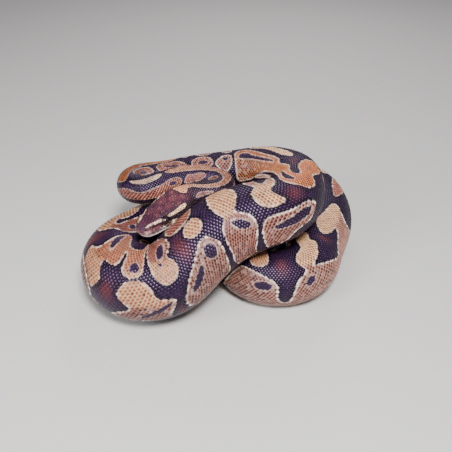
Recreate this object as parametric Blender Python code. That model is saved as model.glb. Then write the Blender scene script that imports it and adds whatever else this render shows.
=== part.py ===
"""A ball python at rest in a loose coil, life size, its head laid on top of its own body.

The animal is one long loft along a centreline. The centreline is drawn in plan units, from the tip
of the snout to the tip of the tail, and s is the length along it, with s = 0 at the back of the
skull. Where two coils lean on each other, or on the ground, their round outline gives way.
"""
import math

import bmesh
import bpy
import numpy as np

UNIT = 0.0112            # metres in one plan unit
GAP = 0.0003             # metres between neighbouring solids
COIL_GAP = 0.15          # plan units left open between two coils that lean on each other
SIDES = 22               # corners of a ring of the trunk
RING_STEP = 0.375        # spacing of the rings, in body radii

HEAD_LENGTH = 4.6        # snout tip to the back of the skull
HEAD_YAW = 228.0         # degrees from +X to where the snout points
HEAD_PITCH = -6.0        # degrees, below level
SKULL = (-2.9, -1.85, 6.95)     # the back of the skull
EYE_RADIUS = 0.26
EYE_FROM_SNOUT = 1.78
EYE_HEIGHT = 0.24
EYE_SIDEWAYS = 0.84
EYE_CLEARANCE = 0.03
HEAD_ROOM = 1.04         # how much larger than the head its bed in the body is
PRESSED = ("trunk_4",)   # the lengths that the head lies against

# Stretches of the body from skull to tail tip. A bend is centre x, y, radius, first and last angle in
# degrees, first and last height; a point is x, y, height.
STRETCHES = (
    ("nape", (-1.3, -1.45, 7.0)),
    ("neck bend", (-1.3, -0.3, 1.2, -50, 90, 7.0, 6.85)),
    ("neck, far limb", (-3.5, 1.05, 6.7)),
    ("left bend", (-5.85, 1.6, 1.65, -110, -280, 6.3, 5.5)),
    ("back run", (-2.6, 3.65, 5.75)),
    ("back run", (0.2, 3.5, 6.0)),
    ("right bend, back", (1.8, 0.05, 3.85, 66, 24, 6.1, 6.5)),
    ("right bend, front", (1.5, -0.15, 3.8, 2, -56, 6.75, 6.9)),
    ("front run", (1.7, -3.75, 6.65)),
    ("front run", (-0.6, -4.45, 5.7)),
    ("front run", (-2.8, -5.75, 4.1)),
    ("left lobe", (-5.05, -3.6, 3.0, -68, -232, 3.05, 2.36)),
    ("under run", (-4.2, 1.5, 2.32)),
    ("under run", (-0.9, 4.1, 2.25)),
    ("outer coil, back", (2.6, 6.5, 2.3)),
    ("outer coil, corner", (5.0, 3.95, 3.05, 80, 5, 2.35, 2.25)),
    ("outer coil, right", (7.95, 1.2, 2.1)),
    ("outer coil, right", (6.9, -1.6, 2.01)),
    ("outer coil, front", (3.7, -1.6, 3.3, -45, -150, 1.98, 1.7)),
    ("vent", (0.0, -1.2, 1.48)),
    ("tail", (2.7, 0.1, 1.6, 160, -70, 1.2, 0.55)),
    ("tail tip", (1.9, -1.7, 0.36)),
)
# Body radius by length from the back of the skull, which is at 0.
GIRTH = (
    (-4.6, 0.5), (-4, 0.8), (-2.5, 1.1), (-1, 1.2), (0, 1.05), (3, 0.93), (6, 0.96), (10, 1.08),
    (14, 1.1), (17, 1.25), (20, 1.45), (24, 1.75), (28, 2.0), (32, 2.2), (35, 2.5), (38, 2.62),
    (42, 2.66), (46, 2.72), (50, 2.58), (55, 2.44),
    (63, 2.34), (73, 2.24), (81, 2.08), (86, 1.65), (89, 1.3), (91, 1.05), (94, 0.7), (97, 0.35),
)
# The lengths of flesh, each from one joint of the body to the next.
LENGTHS = (
    ("neck", 0.6, 9.5), ("trunk_1", 9.5, 17.5), ("trunk_2", 17.5, 24.5), ("trunk_3", 24.5, 33.5),
    ("trunk_4", 33.5, 42.0), ("trunk_5", 42.0, 50.0), ("trunk_6", 50.0, 59.0),
    ("trunk_7", 59.0, 68.5), ("trunk_8", 68.5, 78.0), ("trunk_9", 78.0, 86.5),
)
TAIL_FROM = 86.5
HEAD_TO = 0.6

DARK = (0.030, 0.024, 0.032, 1)
GOLD = (0.42, 0.23, 0.085, 1)


def head_axis():
    yaw, pitch = math.radians(HEAD_YAW), math.radians(HEAD_PITCH)
    flat = math.cos(pitch)
    return np.array([math.cos(yaw) * flat, math.sin(yaw) * flat, math.sin(pitch)])


def waypoints():
    """The centreline's points: four along the head, then those of the stretches."""
    skull = np.array(SKULL)
    points = [skull + head_axis() * HEAD_LENGTH * k for k in (1.0, 0.66, 0.33, 0.0)]
    for _, sizes in STRETCHES:
        if len(sizes) == 3:
            points.append(np.array(sizes))
            continue
        x, y, radius, first, last, low, high = sizes
        count = max(2, round(abs(math.radians(last - first)) * radius / 1.6)) + 1
        for k in np.linspace(0, 1, count):
            turn = math.radians(first + (last - first) * k)
            height = low + (high - low) * k
            points.append(np.array([x + radius * math.cos(turn), y + radius * math.sin(turn), height]))
    return np.array(points)


def spline(points, steps=6000):
    """A natural cubic through the points, sampled evenly in its own parameter."""
    knots = np.concatenate([[0], np.cumsum(np.linalg.norm(np.diff(points, axis=0), axis=1) ** 0.75)])
    step = np.diff(knots)
    count = len(points)
    system, right = np.eye(count), np.zeros((count, 3))
    slope = np.diff(points, axis=0) / step[:, None]
    for i in range(1, count - 1):
        system[i, i - 1:i + 2] = step[i - 1], 2 * (step[i - 1] + step[i]), step[i]
        right[i] = 6 * (slope[i] - slope[i - 1])
    bend = np.linalg.solve(system, right)
    at = np.linspace(0, knots[-1], steps)
    i = np.clip(np.searchsorted(knots, at, side="right") - 1, 0, count - 2)
    near, far, h = (at - knots[i])[:, None], (knots[i + 1] - at)[:, None], step[i][:, None]
    return ((bend[i] * far ** 3 + bend[i + 1] * near ** 3) / (6 * h)
            + (points[i] / h - bend[i] * h / 6) * far + (points[i + 1] / h - bend[i + 1] * h / 6) * near)


class Centreline:
    """Position, direction and body radius at a length s from the back of the skull."""

    def __init__(self):
        dense = spline(waypoints())
        length = np.concatenate([[0], np.cumsum(np.linalg.norm(np.diff(dense, axis=0), axis=1))])
        self.s = np.arange(0, length[-1], 0.05) - HEAD_LENGTH
        raw = np.stack([np.interp(self.s + HEAD_LENGTH, length, dense[:, k]) for k in range(3)], 1)
        self.centre = np.hstack([softened(raw[:, :2], 12), softened(raw[:, 2:], 28)])
        self.end = float(self.s[-1])
        along = np.gradient(self.centre, axis=0)
        self.along = along / np.linalg.norm(along, axis=1)[:, None]
        table = np.array(GIRTH, float)
        self.radius = softened(np.interp(self.s, table[:, 0], table[:, 1])[:, None], 24)[:, 0]

    def at(self, s):
        pick = lambda rows: np.stack([np.interp(s, self.s, rows[:, k]) for k in range(3)], -1)
        along = pick(self.along)
        along /= np.linalg.norm(along, axis=-1, keepdims=True)
        right = np.cross(along, (0, 0, 1.0))
        right /= np.linalg.norm(right, axis=-1, keepdims=True)
        return pick(self.centre), along, np.cross(right, along), right, np.interp(s, self.s, self.radius)


def softened(rows, width):
    """Rows smoothed by a Gaussian of this many samples, with the ends held."""
    reach = 3 * width
    weight = np.exp(-0.5 * (np.arange(-reach, reach + 1) / width) ** 2)
    weight /= weight.sum()
    first = 2 * rows[0] - rows[reach:0:-1]
    last = 2 * rows[-1] - rows[-2:-reach - 2:-1]
    padded = np.concatenate([first, rows, last])
    return np.stack([np.convolve(padded[:, k], weight, "valid") for k in range(rows.shape[1])], 1)


def head_outline(s):
    """Half width, height above and below the axis, and squareness of the head and neck at s."""
    u = np.clip((np.asarray(s, float) + HEAD_LENGTH) / HEAD_LENGTH, 0, 1.4)
    wide = np.interp(u, (0, .03, .07, .12, .2, .3, .42, .56, .7, .82, .9, 1.0, 1.12, 1.3),
                     (0, .42, .60, .72, .83, .95, 1.08, 1.22, 1.33, 1.36, 1.32, 1.18, 1.04, 1.0))
    above = np.interp(u, (0, .03, .07, .12, .2, .3, .42, .56, .7, .82, .92, 1.0, 1.12, 1.3),
                      (0, .24, .36, .45, .54, .65, .75, .81, .86, .88, .90, .92, .97, 1.0))
    below = np.interp(u, (0, .03, .07, .12, .2, .3, .42, .56, .7, .82, .92, 1.0, 1.12, 1.3),
                      (0, .40, .62, .75, .84, .86, .80, .73, .69, .71, .77, .86, .95, 1.0))
    square = np.interp(u, (0, .2, .6, 1.0, 1.2), (2.3, 2.5, 2.5, 2.2, 2.0))
    return wide, above, below, square


def ring(line, s, turn):
    """Nominal surface points at lengths s and angles turn (0 is the back, + the mover's right)."""
    centre, _, up, right, radius = line.at(s)
    wide, above, below, square = head_outline(s)
    neck = np.clip((s - 0.4) / 2.0, 0, 1)
    wide, above, below = (np.where(s > 0, k + (radius - k) * neck, k) for k in (wide, above, below))
    cosine, sine = np.cos(turn), np.sin(turn)
    power = 2 / square[:, None]
    across = np.sign(sine) * np.abs(sine) ** power * wide[:, None]
    height = np.sign(cosine) * np.abs(cosine) ** power
    height = height * np.where(height > 0, above[:, None], below[:, None])
    return centre[:, None] + right[:, None] * across[..., None] + up[:, None] * height[..., None]


def clear_of_head(line, points, spare=1.06):
    """Whether points are outside the head, which doesn't give way as the soft body does."""
    s = np.arange(-HEAD_LENGTH + 0.3, 0.7, 0.35)
    centre, along, up, right, _ = line.at(s)
    wide, above, below, power = head_outline(s)
    clear = np.ones(points.shape[:-1], bool)
    for k in range(len(s)):
        away = points - centre[k]
        height = away @ up[k]
        depth = np.where(height > 0, above[k], below[k])
        shape = np.abs((away @ right[k]) / wide[k]) ** power[k] + np.abs(height / depth) ** power[k]
        clear &= shape + ((away @ along[k]) / depth) ** 2 > spare ** power[k]
    return clear


def given_way(line, s, points):
    """Surface points drawn back towards their centre where another coil, or the ground, is met."""
    centre, _, _, _, radius = line.at(s)
    out = points - centre[:, None]
    others = np.flatnonzero(line.s > 0.5)[::6]
    their_s, their_centre, their_radius = line.s[others], line.centre[others], line.radius[others]
    reach = radius[:, None] + their_radius[None]
    far = np.clip(np.abs(s[:, None] - their_s[None]) / reach - 1.6, 0, 1)
    margin = -0.03 + far * (0.03 + COIL_GAP / reach * 2)
    margin = np.where(s[:, None] < HEAD_TO, -9, margin)
    soft = s[:, None] > 2.5
    own = np.linalg.norm(out, axis=2) / radius[:, None]

    def clear(share):
        at = centre[:, None] + out * share[..., None]
        away = np.linalg.norm(at[:, :, None] - their_centre[None, None], axis=3) / their_radius
        good = (away - margin[:, None] >= (own * share)[..., None]).all(axis=2)
        return good & (clear_of_head(line, at) | ~soft)

    whole = clear(np.ones(own.shape))
    low, high = np.where(whole, 1.0, 0.2), np.ones(own.shape)
    for _ in range(9):
        middle = (low + high) / 2
        good = clear(middle)
        low, high = np.where(good, middle, low), np.where(good, high, middle)
    drawn = centre[:, None] + out * low[..., None]
    drop = centre[:, None, 2] - drawn[..., 2]
    share = np.where(drawn[..., 2] < 0, centre[:, None, 2] / np.maximum(drop, 1e-6), 1)
    return centre[:, None] + (drawn - centre[:, None]) * share[..., None]


def ring_lengths(line, first, last):
    """Lengths from first to last, closer together where the body is thin."""
    at = [first]
    while at[-1] < last:
        radius = float(np.interp(at[-1], line.s, line.radius))
        at.append(at[-1] + RING_STEP * radius)
    at = np.array(at)
    return first + (at - first) * (last - first) / (at[-1] - first)


def solid(name, rings, matter, shift, collection="ball_python", first_tip=None, last_tip=None):
    """A closed mesh through rings of points, each end closed flat or drawn to a tip."""
    count, sides = rings.shape[:2]
    shell = bmesh.new()
    rows = [[shell.verts.new(p) for p in row] for row in (rings + shift) * UNIT]
    for near, far in zip(rows, rows[1:]):
        for k in range(sides):
            nxt = (k + 1) % sides
            shell.faces.new((near[k], near[nxt], far[nxt], far[k]))
    for row, tip, turn in ((rows[0], first_tip, 1), (rows[-1], last_tip, -1)):
        centre = np.mean([v.co for v in row], axis=0) if tip is None else (tip + shift) * UNIT
        hub = shell.verts.new(centre)
        for k in range(sides):
            ends = (row[(k + 1) % sides], row[k], hub)
            shell.faces.new(ends[::turn])
    bmesh.ops.triangulate(shell, faces=shell.faces[:])
    bmesh.ops.recalc_face_normals(shell, faces=shell.faces[:])
    mesh = bpy.data.meshes.new(name)
    shell.to_mesh(mesh)
    shell.free()
    return placed(bpy.data.objects.new(name, mesh), matter, collection)


def placed(item, matter, collection):
    item.data.materials.append(matter)
    bpy.data.collections[collection].objects.link(item)
    for face in item.data.polygons:
        face.use_smooth = True
    return item


def material(name, colour, roughness):
    made = bpy.data.materials.new(name)
    made.use_nodes = True
    shader = made.node_tree.nodes["Principled BSDF"]
    shader.inputs["Base Color"].default_value = colour
    shader.inputs["Roughness"].default_value = roughness
    shader.inputs["Metallic"].default_value = 0
    return made


def ball(name, centre, radius, matter, collection):
    mesh = bpy.data.meshes.new(name)
    shell = bmesh.new()
    bmesh.ops.create_uvsphere(shell, u_segments=14, v_segments=9, radius=radius * UNIT)
    bmesh.ops.translate(shell, verts=shell.verts, vec=centre * UNIT)
    shell.to_mesh(mesh)
    shell.free()
    return placed(bpy.data.objects.new(name, mesh), matter, collection)


def hidden(cutter):
    cutter.hide_render = True
    cutter.display_type = "WIRE"


def cut_out(item, cutter):
    cut = item.modifiers.new(cutter.name, "BOOLEAN")
    cut.operation, cut.solver, cut.object = "DIFFERENCE", "EXACT", cutter


def eye_centres(line):
    centre, along, up, right, _ = line.at(np.array([EYE_FROM_SNOUT - HEAD_LENGTH]))
    middle = centre[0] + up[0] * EYE_HEIGHT
    return {"eye_left": middle + right[0] * EYE_SIDEWAYS, "eye_right": middle - right[0] * EYE_SIDEWAYS}


def head(line, turn, shift, flesh, glassy):
    lengths = -HEAD_LENGTH + (HEAD_LENGTH + HEAD_TO) * np.linspace(0.12, 1, 22) ** 1.25
    lengths[-1] = HEAD_TO - GAP / UNIT / 2
    rings, tip = ring(line, lengths, turn), np.array(SKULL) + head_axis() * HEAD_LENGTH
    skull = solid("head", rings, flesh, shift, first_tip=tip)
    centre = line.at(lengths)[0][:, None]
    room = solid("head_room", centre + (rings - centre) * HEAD_ROOM, flesh, shift, collection="cutters",
                 first_tip=tip + head_axis() * 0.06)
    hidden(room)
    for name in PRESSED:
        cut_out(bpy.data.objects[name], room)
    for name, centre in eye_centres(line).items():
        socket = ball("socket_" + name, centre + shift, EYE_RADIUS + EYE_CLEARANCE, flesh, "cutters")
        hidden(socket)
        cut_out(skull, socket)
        ball(name, centre + shift, EYE_RADIUS, glassy, "ball_python")


def build():
    for item in list(bpy.data.objects):
        bpy.data.objects.remove(item, do_unlink=True)
    for name in ("ball_python", "cutters"):
        bpy.context.scene.collection.children.link(bpy.data.collections.new(name))
    line = Centreline()
    turn = np.arange(SIDES) * 2 * math.pi / SIDES
    parts = {}
    half = GAP / UNIT / 2
    for name, first, last in LENGTHS:
        lengths = ring_lengths(line, first + half, last - half)
        parts[name] = given_way(line, lengths, ring(line, lengths, turn))
    lengths = ring_lengths(line, TAIL_FROM + half, line.end - 0.12)
    parts["tail"] = given_way(line, lengths, ring(line, lengths, turn))
    every = np.concatenate([rings.reshape(-1, 3) for rings in parts.values()])
    low, high = every.min(axis=0), every.max(axis=0)
    shift = np.array([-(low[0] + high[0]) / 2, -(low[1] + high[1]) / 2, 0])
    for name, rings in parts.items():
        skin = material(name + "_skin", DARK if name in ("neck", "tail") else GOLD, 0.45)
        tip = line.centre[-1] if name == "tail" else None
        solid(name, rings, skin, shift, last_tip=tip)
    head(line, turn, shift, material("head_skin", DARK, 0.4), material("eye", (0.012, 0.01, 0.01, 1), 0.08))


build()
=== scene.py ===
"""A ball python at rest in a loose coil: one skin over the whole animal, with solid scales laid over it.

Plan units are used throughout until the points are written to a mesh. s is the length along the body
from the back of the skull, negative on the head, and u is the distance behind the snout tip. turn is
the angle round the body, 0 at the top and + on the snake's left. Colours are linear.
"""
import math

import bpy
import numpy as np
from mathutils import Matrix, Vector
from mathutils.bvhtree import BVHTree


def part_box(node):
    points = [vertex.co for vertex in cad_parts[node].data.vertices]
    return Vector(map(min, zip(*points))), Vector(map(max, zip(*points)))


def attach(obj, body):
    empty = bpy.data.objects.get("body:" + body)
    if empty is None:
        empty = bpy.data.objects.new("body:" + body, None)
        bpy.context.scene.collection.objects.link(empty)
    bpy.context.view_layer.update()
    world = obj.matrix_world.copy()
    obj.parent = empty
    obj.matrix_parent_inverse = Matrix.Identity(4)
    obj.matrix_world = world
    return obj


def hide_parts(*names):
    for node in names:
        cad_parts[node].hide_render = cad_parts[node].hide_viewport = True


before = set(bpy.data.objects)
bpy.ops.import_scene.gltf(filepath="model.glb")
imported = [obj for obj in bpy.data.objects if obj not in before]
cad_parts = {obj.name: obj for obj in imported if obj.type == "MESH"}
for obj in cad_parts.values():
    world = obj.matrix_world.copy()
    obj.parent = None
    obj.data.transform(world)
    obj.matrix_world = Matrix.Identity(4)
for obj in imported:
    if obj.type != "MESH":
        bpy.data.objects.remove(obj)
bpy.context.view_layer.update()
CIRCLE = 2 * math.pi

# ---- sizes of the body, as in the part ----
UNIT = 0.0112            # metres in one plan unit
COIL_GAP = 0.15
HEAD_LENGTH = 4.6
HEAD_YAW = 228.0
HEAD_PITCH = -6.0
SKULL = (-2.9, -1.85, 6.95)
EYE_RADIUS = 0.26
EYE_FROM_SNOUT = 1.78
EYE_HEIGHT = 0.24
EYE_SIDEWAYS = 0.84
HEAD_TO = 0.6            # the s up to which the head keeps its full outline
ARC_STEP = 1.6           # longest step between the points of an arc
LINE_STEP = 0.05         # step between the centreline's samples
STRETCHES = (            # a point, or an arc's centre, radius, first and last angle and heights
    ("nape", (-1.3, -1.45, 7.0)),
    ("neck bend", (-1.3, -0.3, 1.2, -50, 90, 7.0, 6.85)),
    ("neck, far limb", (-3.5, 1.05, 6.7)),
    ("left bend", (-5.85, 1.6, 1.65, -110, -280, 6.3, 5.5)),
    ("back run", (-2.6, 3.65, 5.75)),
    ("back run", (0.2, 3.5, 6.0)),
    ("right bend, back", (1.8, 0.05, 3.85, 66, 24, 6.1, 6.5)),
    ("right bend, front", (1.5, -0.15, 3.8, 2, -56, 6.75, 6.9)),
    ("front run", (1.7, -3.75, 6.65)),
    ("front run", (-0.6, -4.45, 5.7)),
    ("front run", (-2.8, -5.75, 4.1)),
    ("left lobe", (-5.05, -3.6, 3.0, -68, -232, 3.05, 2.36)),
    ("under run", (-4.2, 1.5, 2.32)),
    ("under run", (-0.9, 4.1, 2.25)),
    ("outer coil, back", (2.6, 6.5, 2.3)),
    ("outer coil, corner", (5.0, 3.95, 3.05, 80, 5, 2.35, 2.25)),
    ("outer coil, right", (7.95, 1.2, 2.1)),
    ("outer coil, right", (6.9, -1.6, 2.01)),
    ("outer coil, front", (3.7, -1.6, 3.3, -45, -150, 1.98, 1.7)),
    ("vent", (0.0, -1.2, 1.48)),
    ("tail", (2.7, 0.1, 1.6, 160, -70, 1.2, 0.55)),
    ("tail tip", (1.9, -1.7, 0.36)),
)
GIRTH = (                # s and the body's radius there
    (-4.6, 0.5), (-4, 0.8), (-2.5, 1.1), (-1, 1.2), (0, 1.05), (3, 0.93), (6, 0.96), (10, 1.08),
    (14, 1.1), (17, 1.25), (20, 1.45), (24, 1.75), (28, 2.0), (32, 2.2), (35, 2.5), (38, 2.62),
    (42, 2.66), (46, 2.72), (50, 2.58), (55, 2.44),
    (63, 2.34), (73, 2.24), (81, 2.08), (86, 1.65), (89, 1.3), (91, 1.05), (94, 0.7), (97, 0.35),
)
# The head's outline by share of its length: half width, and height and depth from its axis.
OUTLINE_AT = (0, .03, .07, .12, .2, .3, .42, .56, .7, .82, .9, .92, 1.0, 1.12, 1.3)
HALF_WIDTH = (0, .42, .60, .72, .83, .95, 1.08, 1.22, 1.33, 1.36, 1.32, 1.30, 1.18, 1.04, 1.0)
HEIGHT_ABOVE = (0, .24, .36, .45, .54, .65, .75, .81, .86, .88, .895, .90, .92, .97, 1.0)
DEPTH_BELOW = (0, .40, .62, .75, .84, .86, .80, .73, .69, .71, .758, .77, .86, .95, 1.0)
SQUARENESS = ((0, .2, .6, 1.0, 1.2), (2.3, 2.5, 2.5, 2.2, 2.0))

# ---- sizes of the skin and scales ----
HEAD_ROWS, BODY_STEP, COLUMNS = 150, 0.13, 144
HEAD_MIDDLE = -2.0       # the s whose axes stand for the whole head's
HEAD_SEAM = 1.0          # the s where the head's finer rows and its own patch of the unwrap end
# How far the skin lies inside the plain outline: s and depth.
SKIN_DEPTH = ((-0.5, 1.5, 62, 93, 97), (0.035, 0.045, 0.07, 0.04, 0.02))
# The mouth line: u and height above the axis.
MOUTH_LINE = ((0, 0.3, 0.9, 1.7, 2.4, 3.1, 3.5), (-0.30, -0.34, -0.36, -0.30, -0.30, -0.36, -0.44))
CHEEK_RELIEF = (         # how far it stands out, its u and reach along the head, its height and reach
    ("brow", 0.050, 1.75, 0.55, 0.58, 0.10),
    ("hollow in front of the eye", -0.060, 1.0, 0.34, 0.10, 0.15),
    ("ridge from eye to nostril", 0.030, 0.9, 0.6, 0.36, 0.08),
)
LIP_RELIEF = (           # how far it stands out, its height over the mouth line and reach
    ("mouth", -0.045, 0, 0.028),
    ("upper lip", 0.030, 0.15, 0.10),
    ("lower lip", 0.020, -0.13, 0.09),
)
EYE_RELIEF = (           # how far it stands out, its distance from the eye's middle and reach
    ("rim", 0.040, 0.35, 0.06),
    ("socket", -0.060, 0, 0.22),
)
HEAT_PITS = (0.42, 0.68, 0.94, 1.20)                # their u
NOSTRIL = (0.30, 0.55, 0.13)                        # its u, and its place beside and above the axis
LIP_SHIELD = 0.27        # width of a shield along the lips
PLATE_TRIES = 16000      # places tried for the middles of the head's plates
PLATES_TO = 0.55         # the s of the hindmost plate
HALF_GROOVE = 0.009      # half of the groove between two plates
# From a plate's middle over its rim to its underside: share of its size, lift, and rim in its colour.
PLATE_PROFILE = ((0, 0.024, 0.0), (0.72, 0.019, 0.5), (1, 0.002, 1.0), (0.97, -0.03, 1.0), (0, -0.03, 1.0))
ROWS_OF_SCALES = 61      # across the trunk's back and sides, from belly edge to belly edge
NECK_ROWS = ((15.0, 37), (22.0, 45), (29.0, 53))    # the fewer rows that there are before each s
BELLY_EDGE = 146.0       # degrees from the back's midline to the belly scutes
SCALE_PITCH = 0.175      # length of a scale's place on a body of radius 1
BEND_SPARE = 0.55        # how much shorter scales are set where the body bends
SCALE_PIECES = 8         # the coat of scales is cut across into this many pieces
FIRST_ROW = 0.35         # the s of the foremost row of scales
SCALE_SIDES, SCALE_SQUARENESS = 8, 1.35
SCALE_REACH, SCALE_HALF_WIDTH = 0.66, 1.02          # half its length in rows, half its width in places
SCALE_LIFT, LIFT_BY_RADIUS = 0.0155, 0.0085         # at no thickness, and more for each unit of radius
TAIL_TIP = 89.5          # the s behind which every second scale is left out and the rest are wider
SCUTE_COLUMNS, SCUTE_LIFT = 12, 0.022
SCUTE_PROFILE = ((-0.55, -0.4), (0.2, 0.6), (0.68, 1.0), (0.62, -1.6), (-0.5, -1.8))    # along, rise
FLOOR_GAP = 0.004        # least height of a scale over the ground
STRIP = 24.1             # length of body in one strip of the unwrap
PATCH = 0.0015           # half size of a scale's own patch on the unwrap
# How far the back's midline has rolled round from the top, by s.
ROLL = ((0, 0), (24, 0), (30, -18), (41, -20), (45, -52), (48.4, -52), (54, 0), (97, 0))
CAMERA_ELEVATION, CAMERA_DISTANCE = 37.0, 45        # degrees, and plan units from the middle

# ---- colours ----
# The ground's scales have near-black edges, and middles paler and bluer than their own colour as painted
# sheen.
BLACK_EDGE, SHEENED_BLACK_CORE = (0.0025, 0.0010, 0.0034), (0.033, 0.0115, 0.048)
RED_HAZE = (0.092, 0.020, 0.022)
PALE = (1.0, 0.80, 0.68)
CREAM = (0.58, 0.40, 0.28)
NAPE = (0.020, 0.010, 0.012)
CROWN, CROWN_RED, CROWN_FLECK = (0.054, 0.0125, 0.029), (0.26, 0.064, 0.076), (0.26, 0.11, 0.09)
SNOUT_GREY = ((0.044, 0.012, 0.024), (0.092, 0.034, 0.047))     # a plate's middle and its rim
SNOUT_PINK = ((0.24, 0.080, 0.085), (0.42, 0.20, 0.19))
SNOUT_TIP, SNOUT_BROWN = (0.040, 0.013, 0.030), (0.045, 0.013, 0.020)
LIP_WHITE, MOUTH = (0.94, 0.82, 0.77), (0.02, 0.012, 0.014)
EYE_DARK, PUPIL = (0.012, 0.009, 0.010), (0.003, 0.003, 0.003)
IRIS = ((0.012, 0.006, 0.005), (0.040, 0.022, 0.012))           # its lower and upper part
# The dark stripe through the eye: its height and width by u.
STRIPE_HEIGHT = ((1.2, 1.8, 2.6, 3.6, 4.6), (0.16, 0.20, 0.22, 0.24, 0.26))
STRIPE_WIDTH = ((1.2, 2.0, 3.4, 5), (0.07, 0.14, 0.20, 0.28))
KINDS = {                # core, the colour towards a scale's own rim, and how strong the pale border is
    "gold": ((0.18, 0.038, 0.014), (1.0, 0.63, 0.35), 0.50),
    "tan": ((0.032, 0.010, 0.009), (0.54, 0.215, 0.145), 0.95),
    # ash is its own greyish tan, darkened partly as painted shade.
    "ash_and_shade": ((0.034, 0.012, 0.010), (0.58, 0.265, 0.190), 0.95),
    "pink": ((0.050, 0.014, 0.012), (0.52, 0.19, 0.130), 0.60),
    "peach": ((0.10, 0.028, 0.015), (0.82, 0.33, 0.18), 0.60),
    "pale": ((0.34, 0.15, 0.09), (0.98, 0.62, 0.42), 0.40),
    # orange and ochre are deeper than gold by their own colour, and darkened further as painted shade.
    "orange_and_shade": ((0.070, 0.016, 0.006), (0.64, 0.205, 0.070), 0.55),
    "ochre_and_shade": ((0.028, 0.009, 0.003), (0.54, 0.175, 0.058), 0.70),
}
SPECKLED = ("tan", "ash_and_shade", "ochre_and_shade")
MARK_MARGIN = (0.5, 12)  # s and degrees beyond a marking's outline that it can still colour

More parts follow.
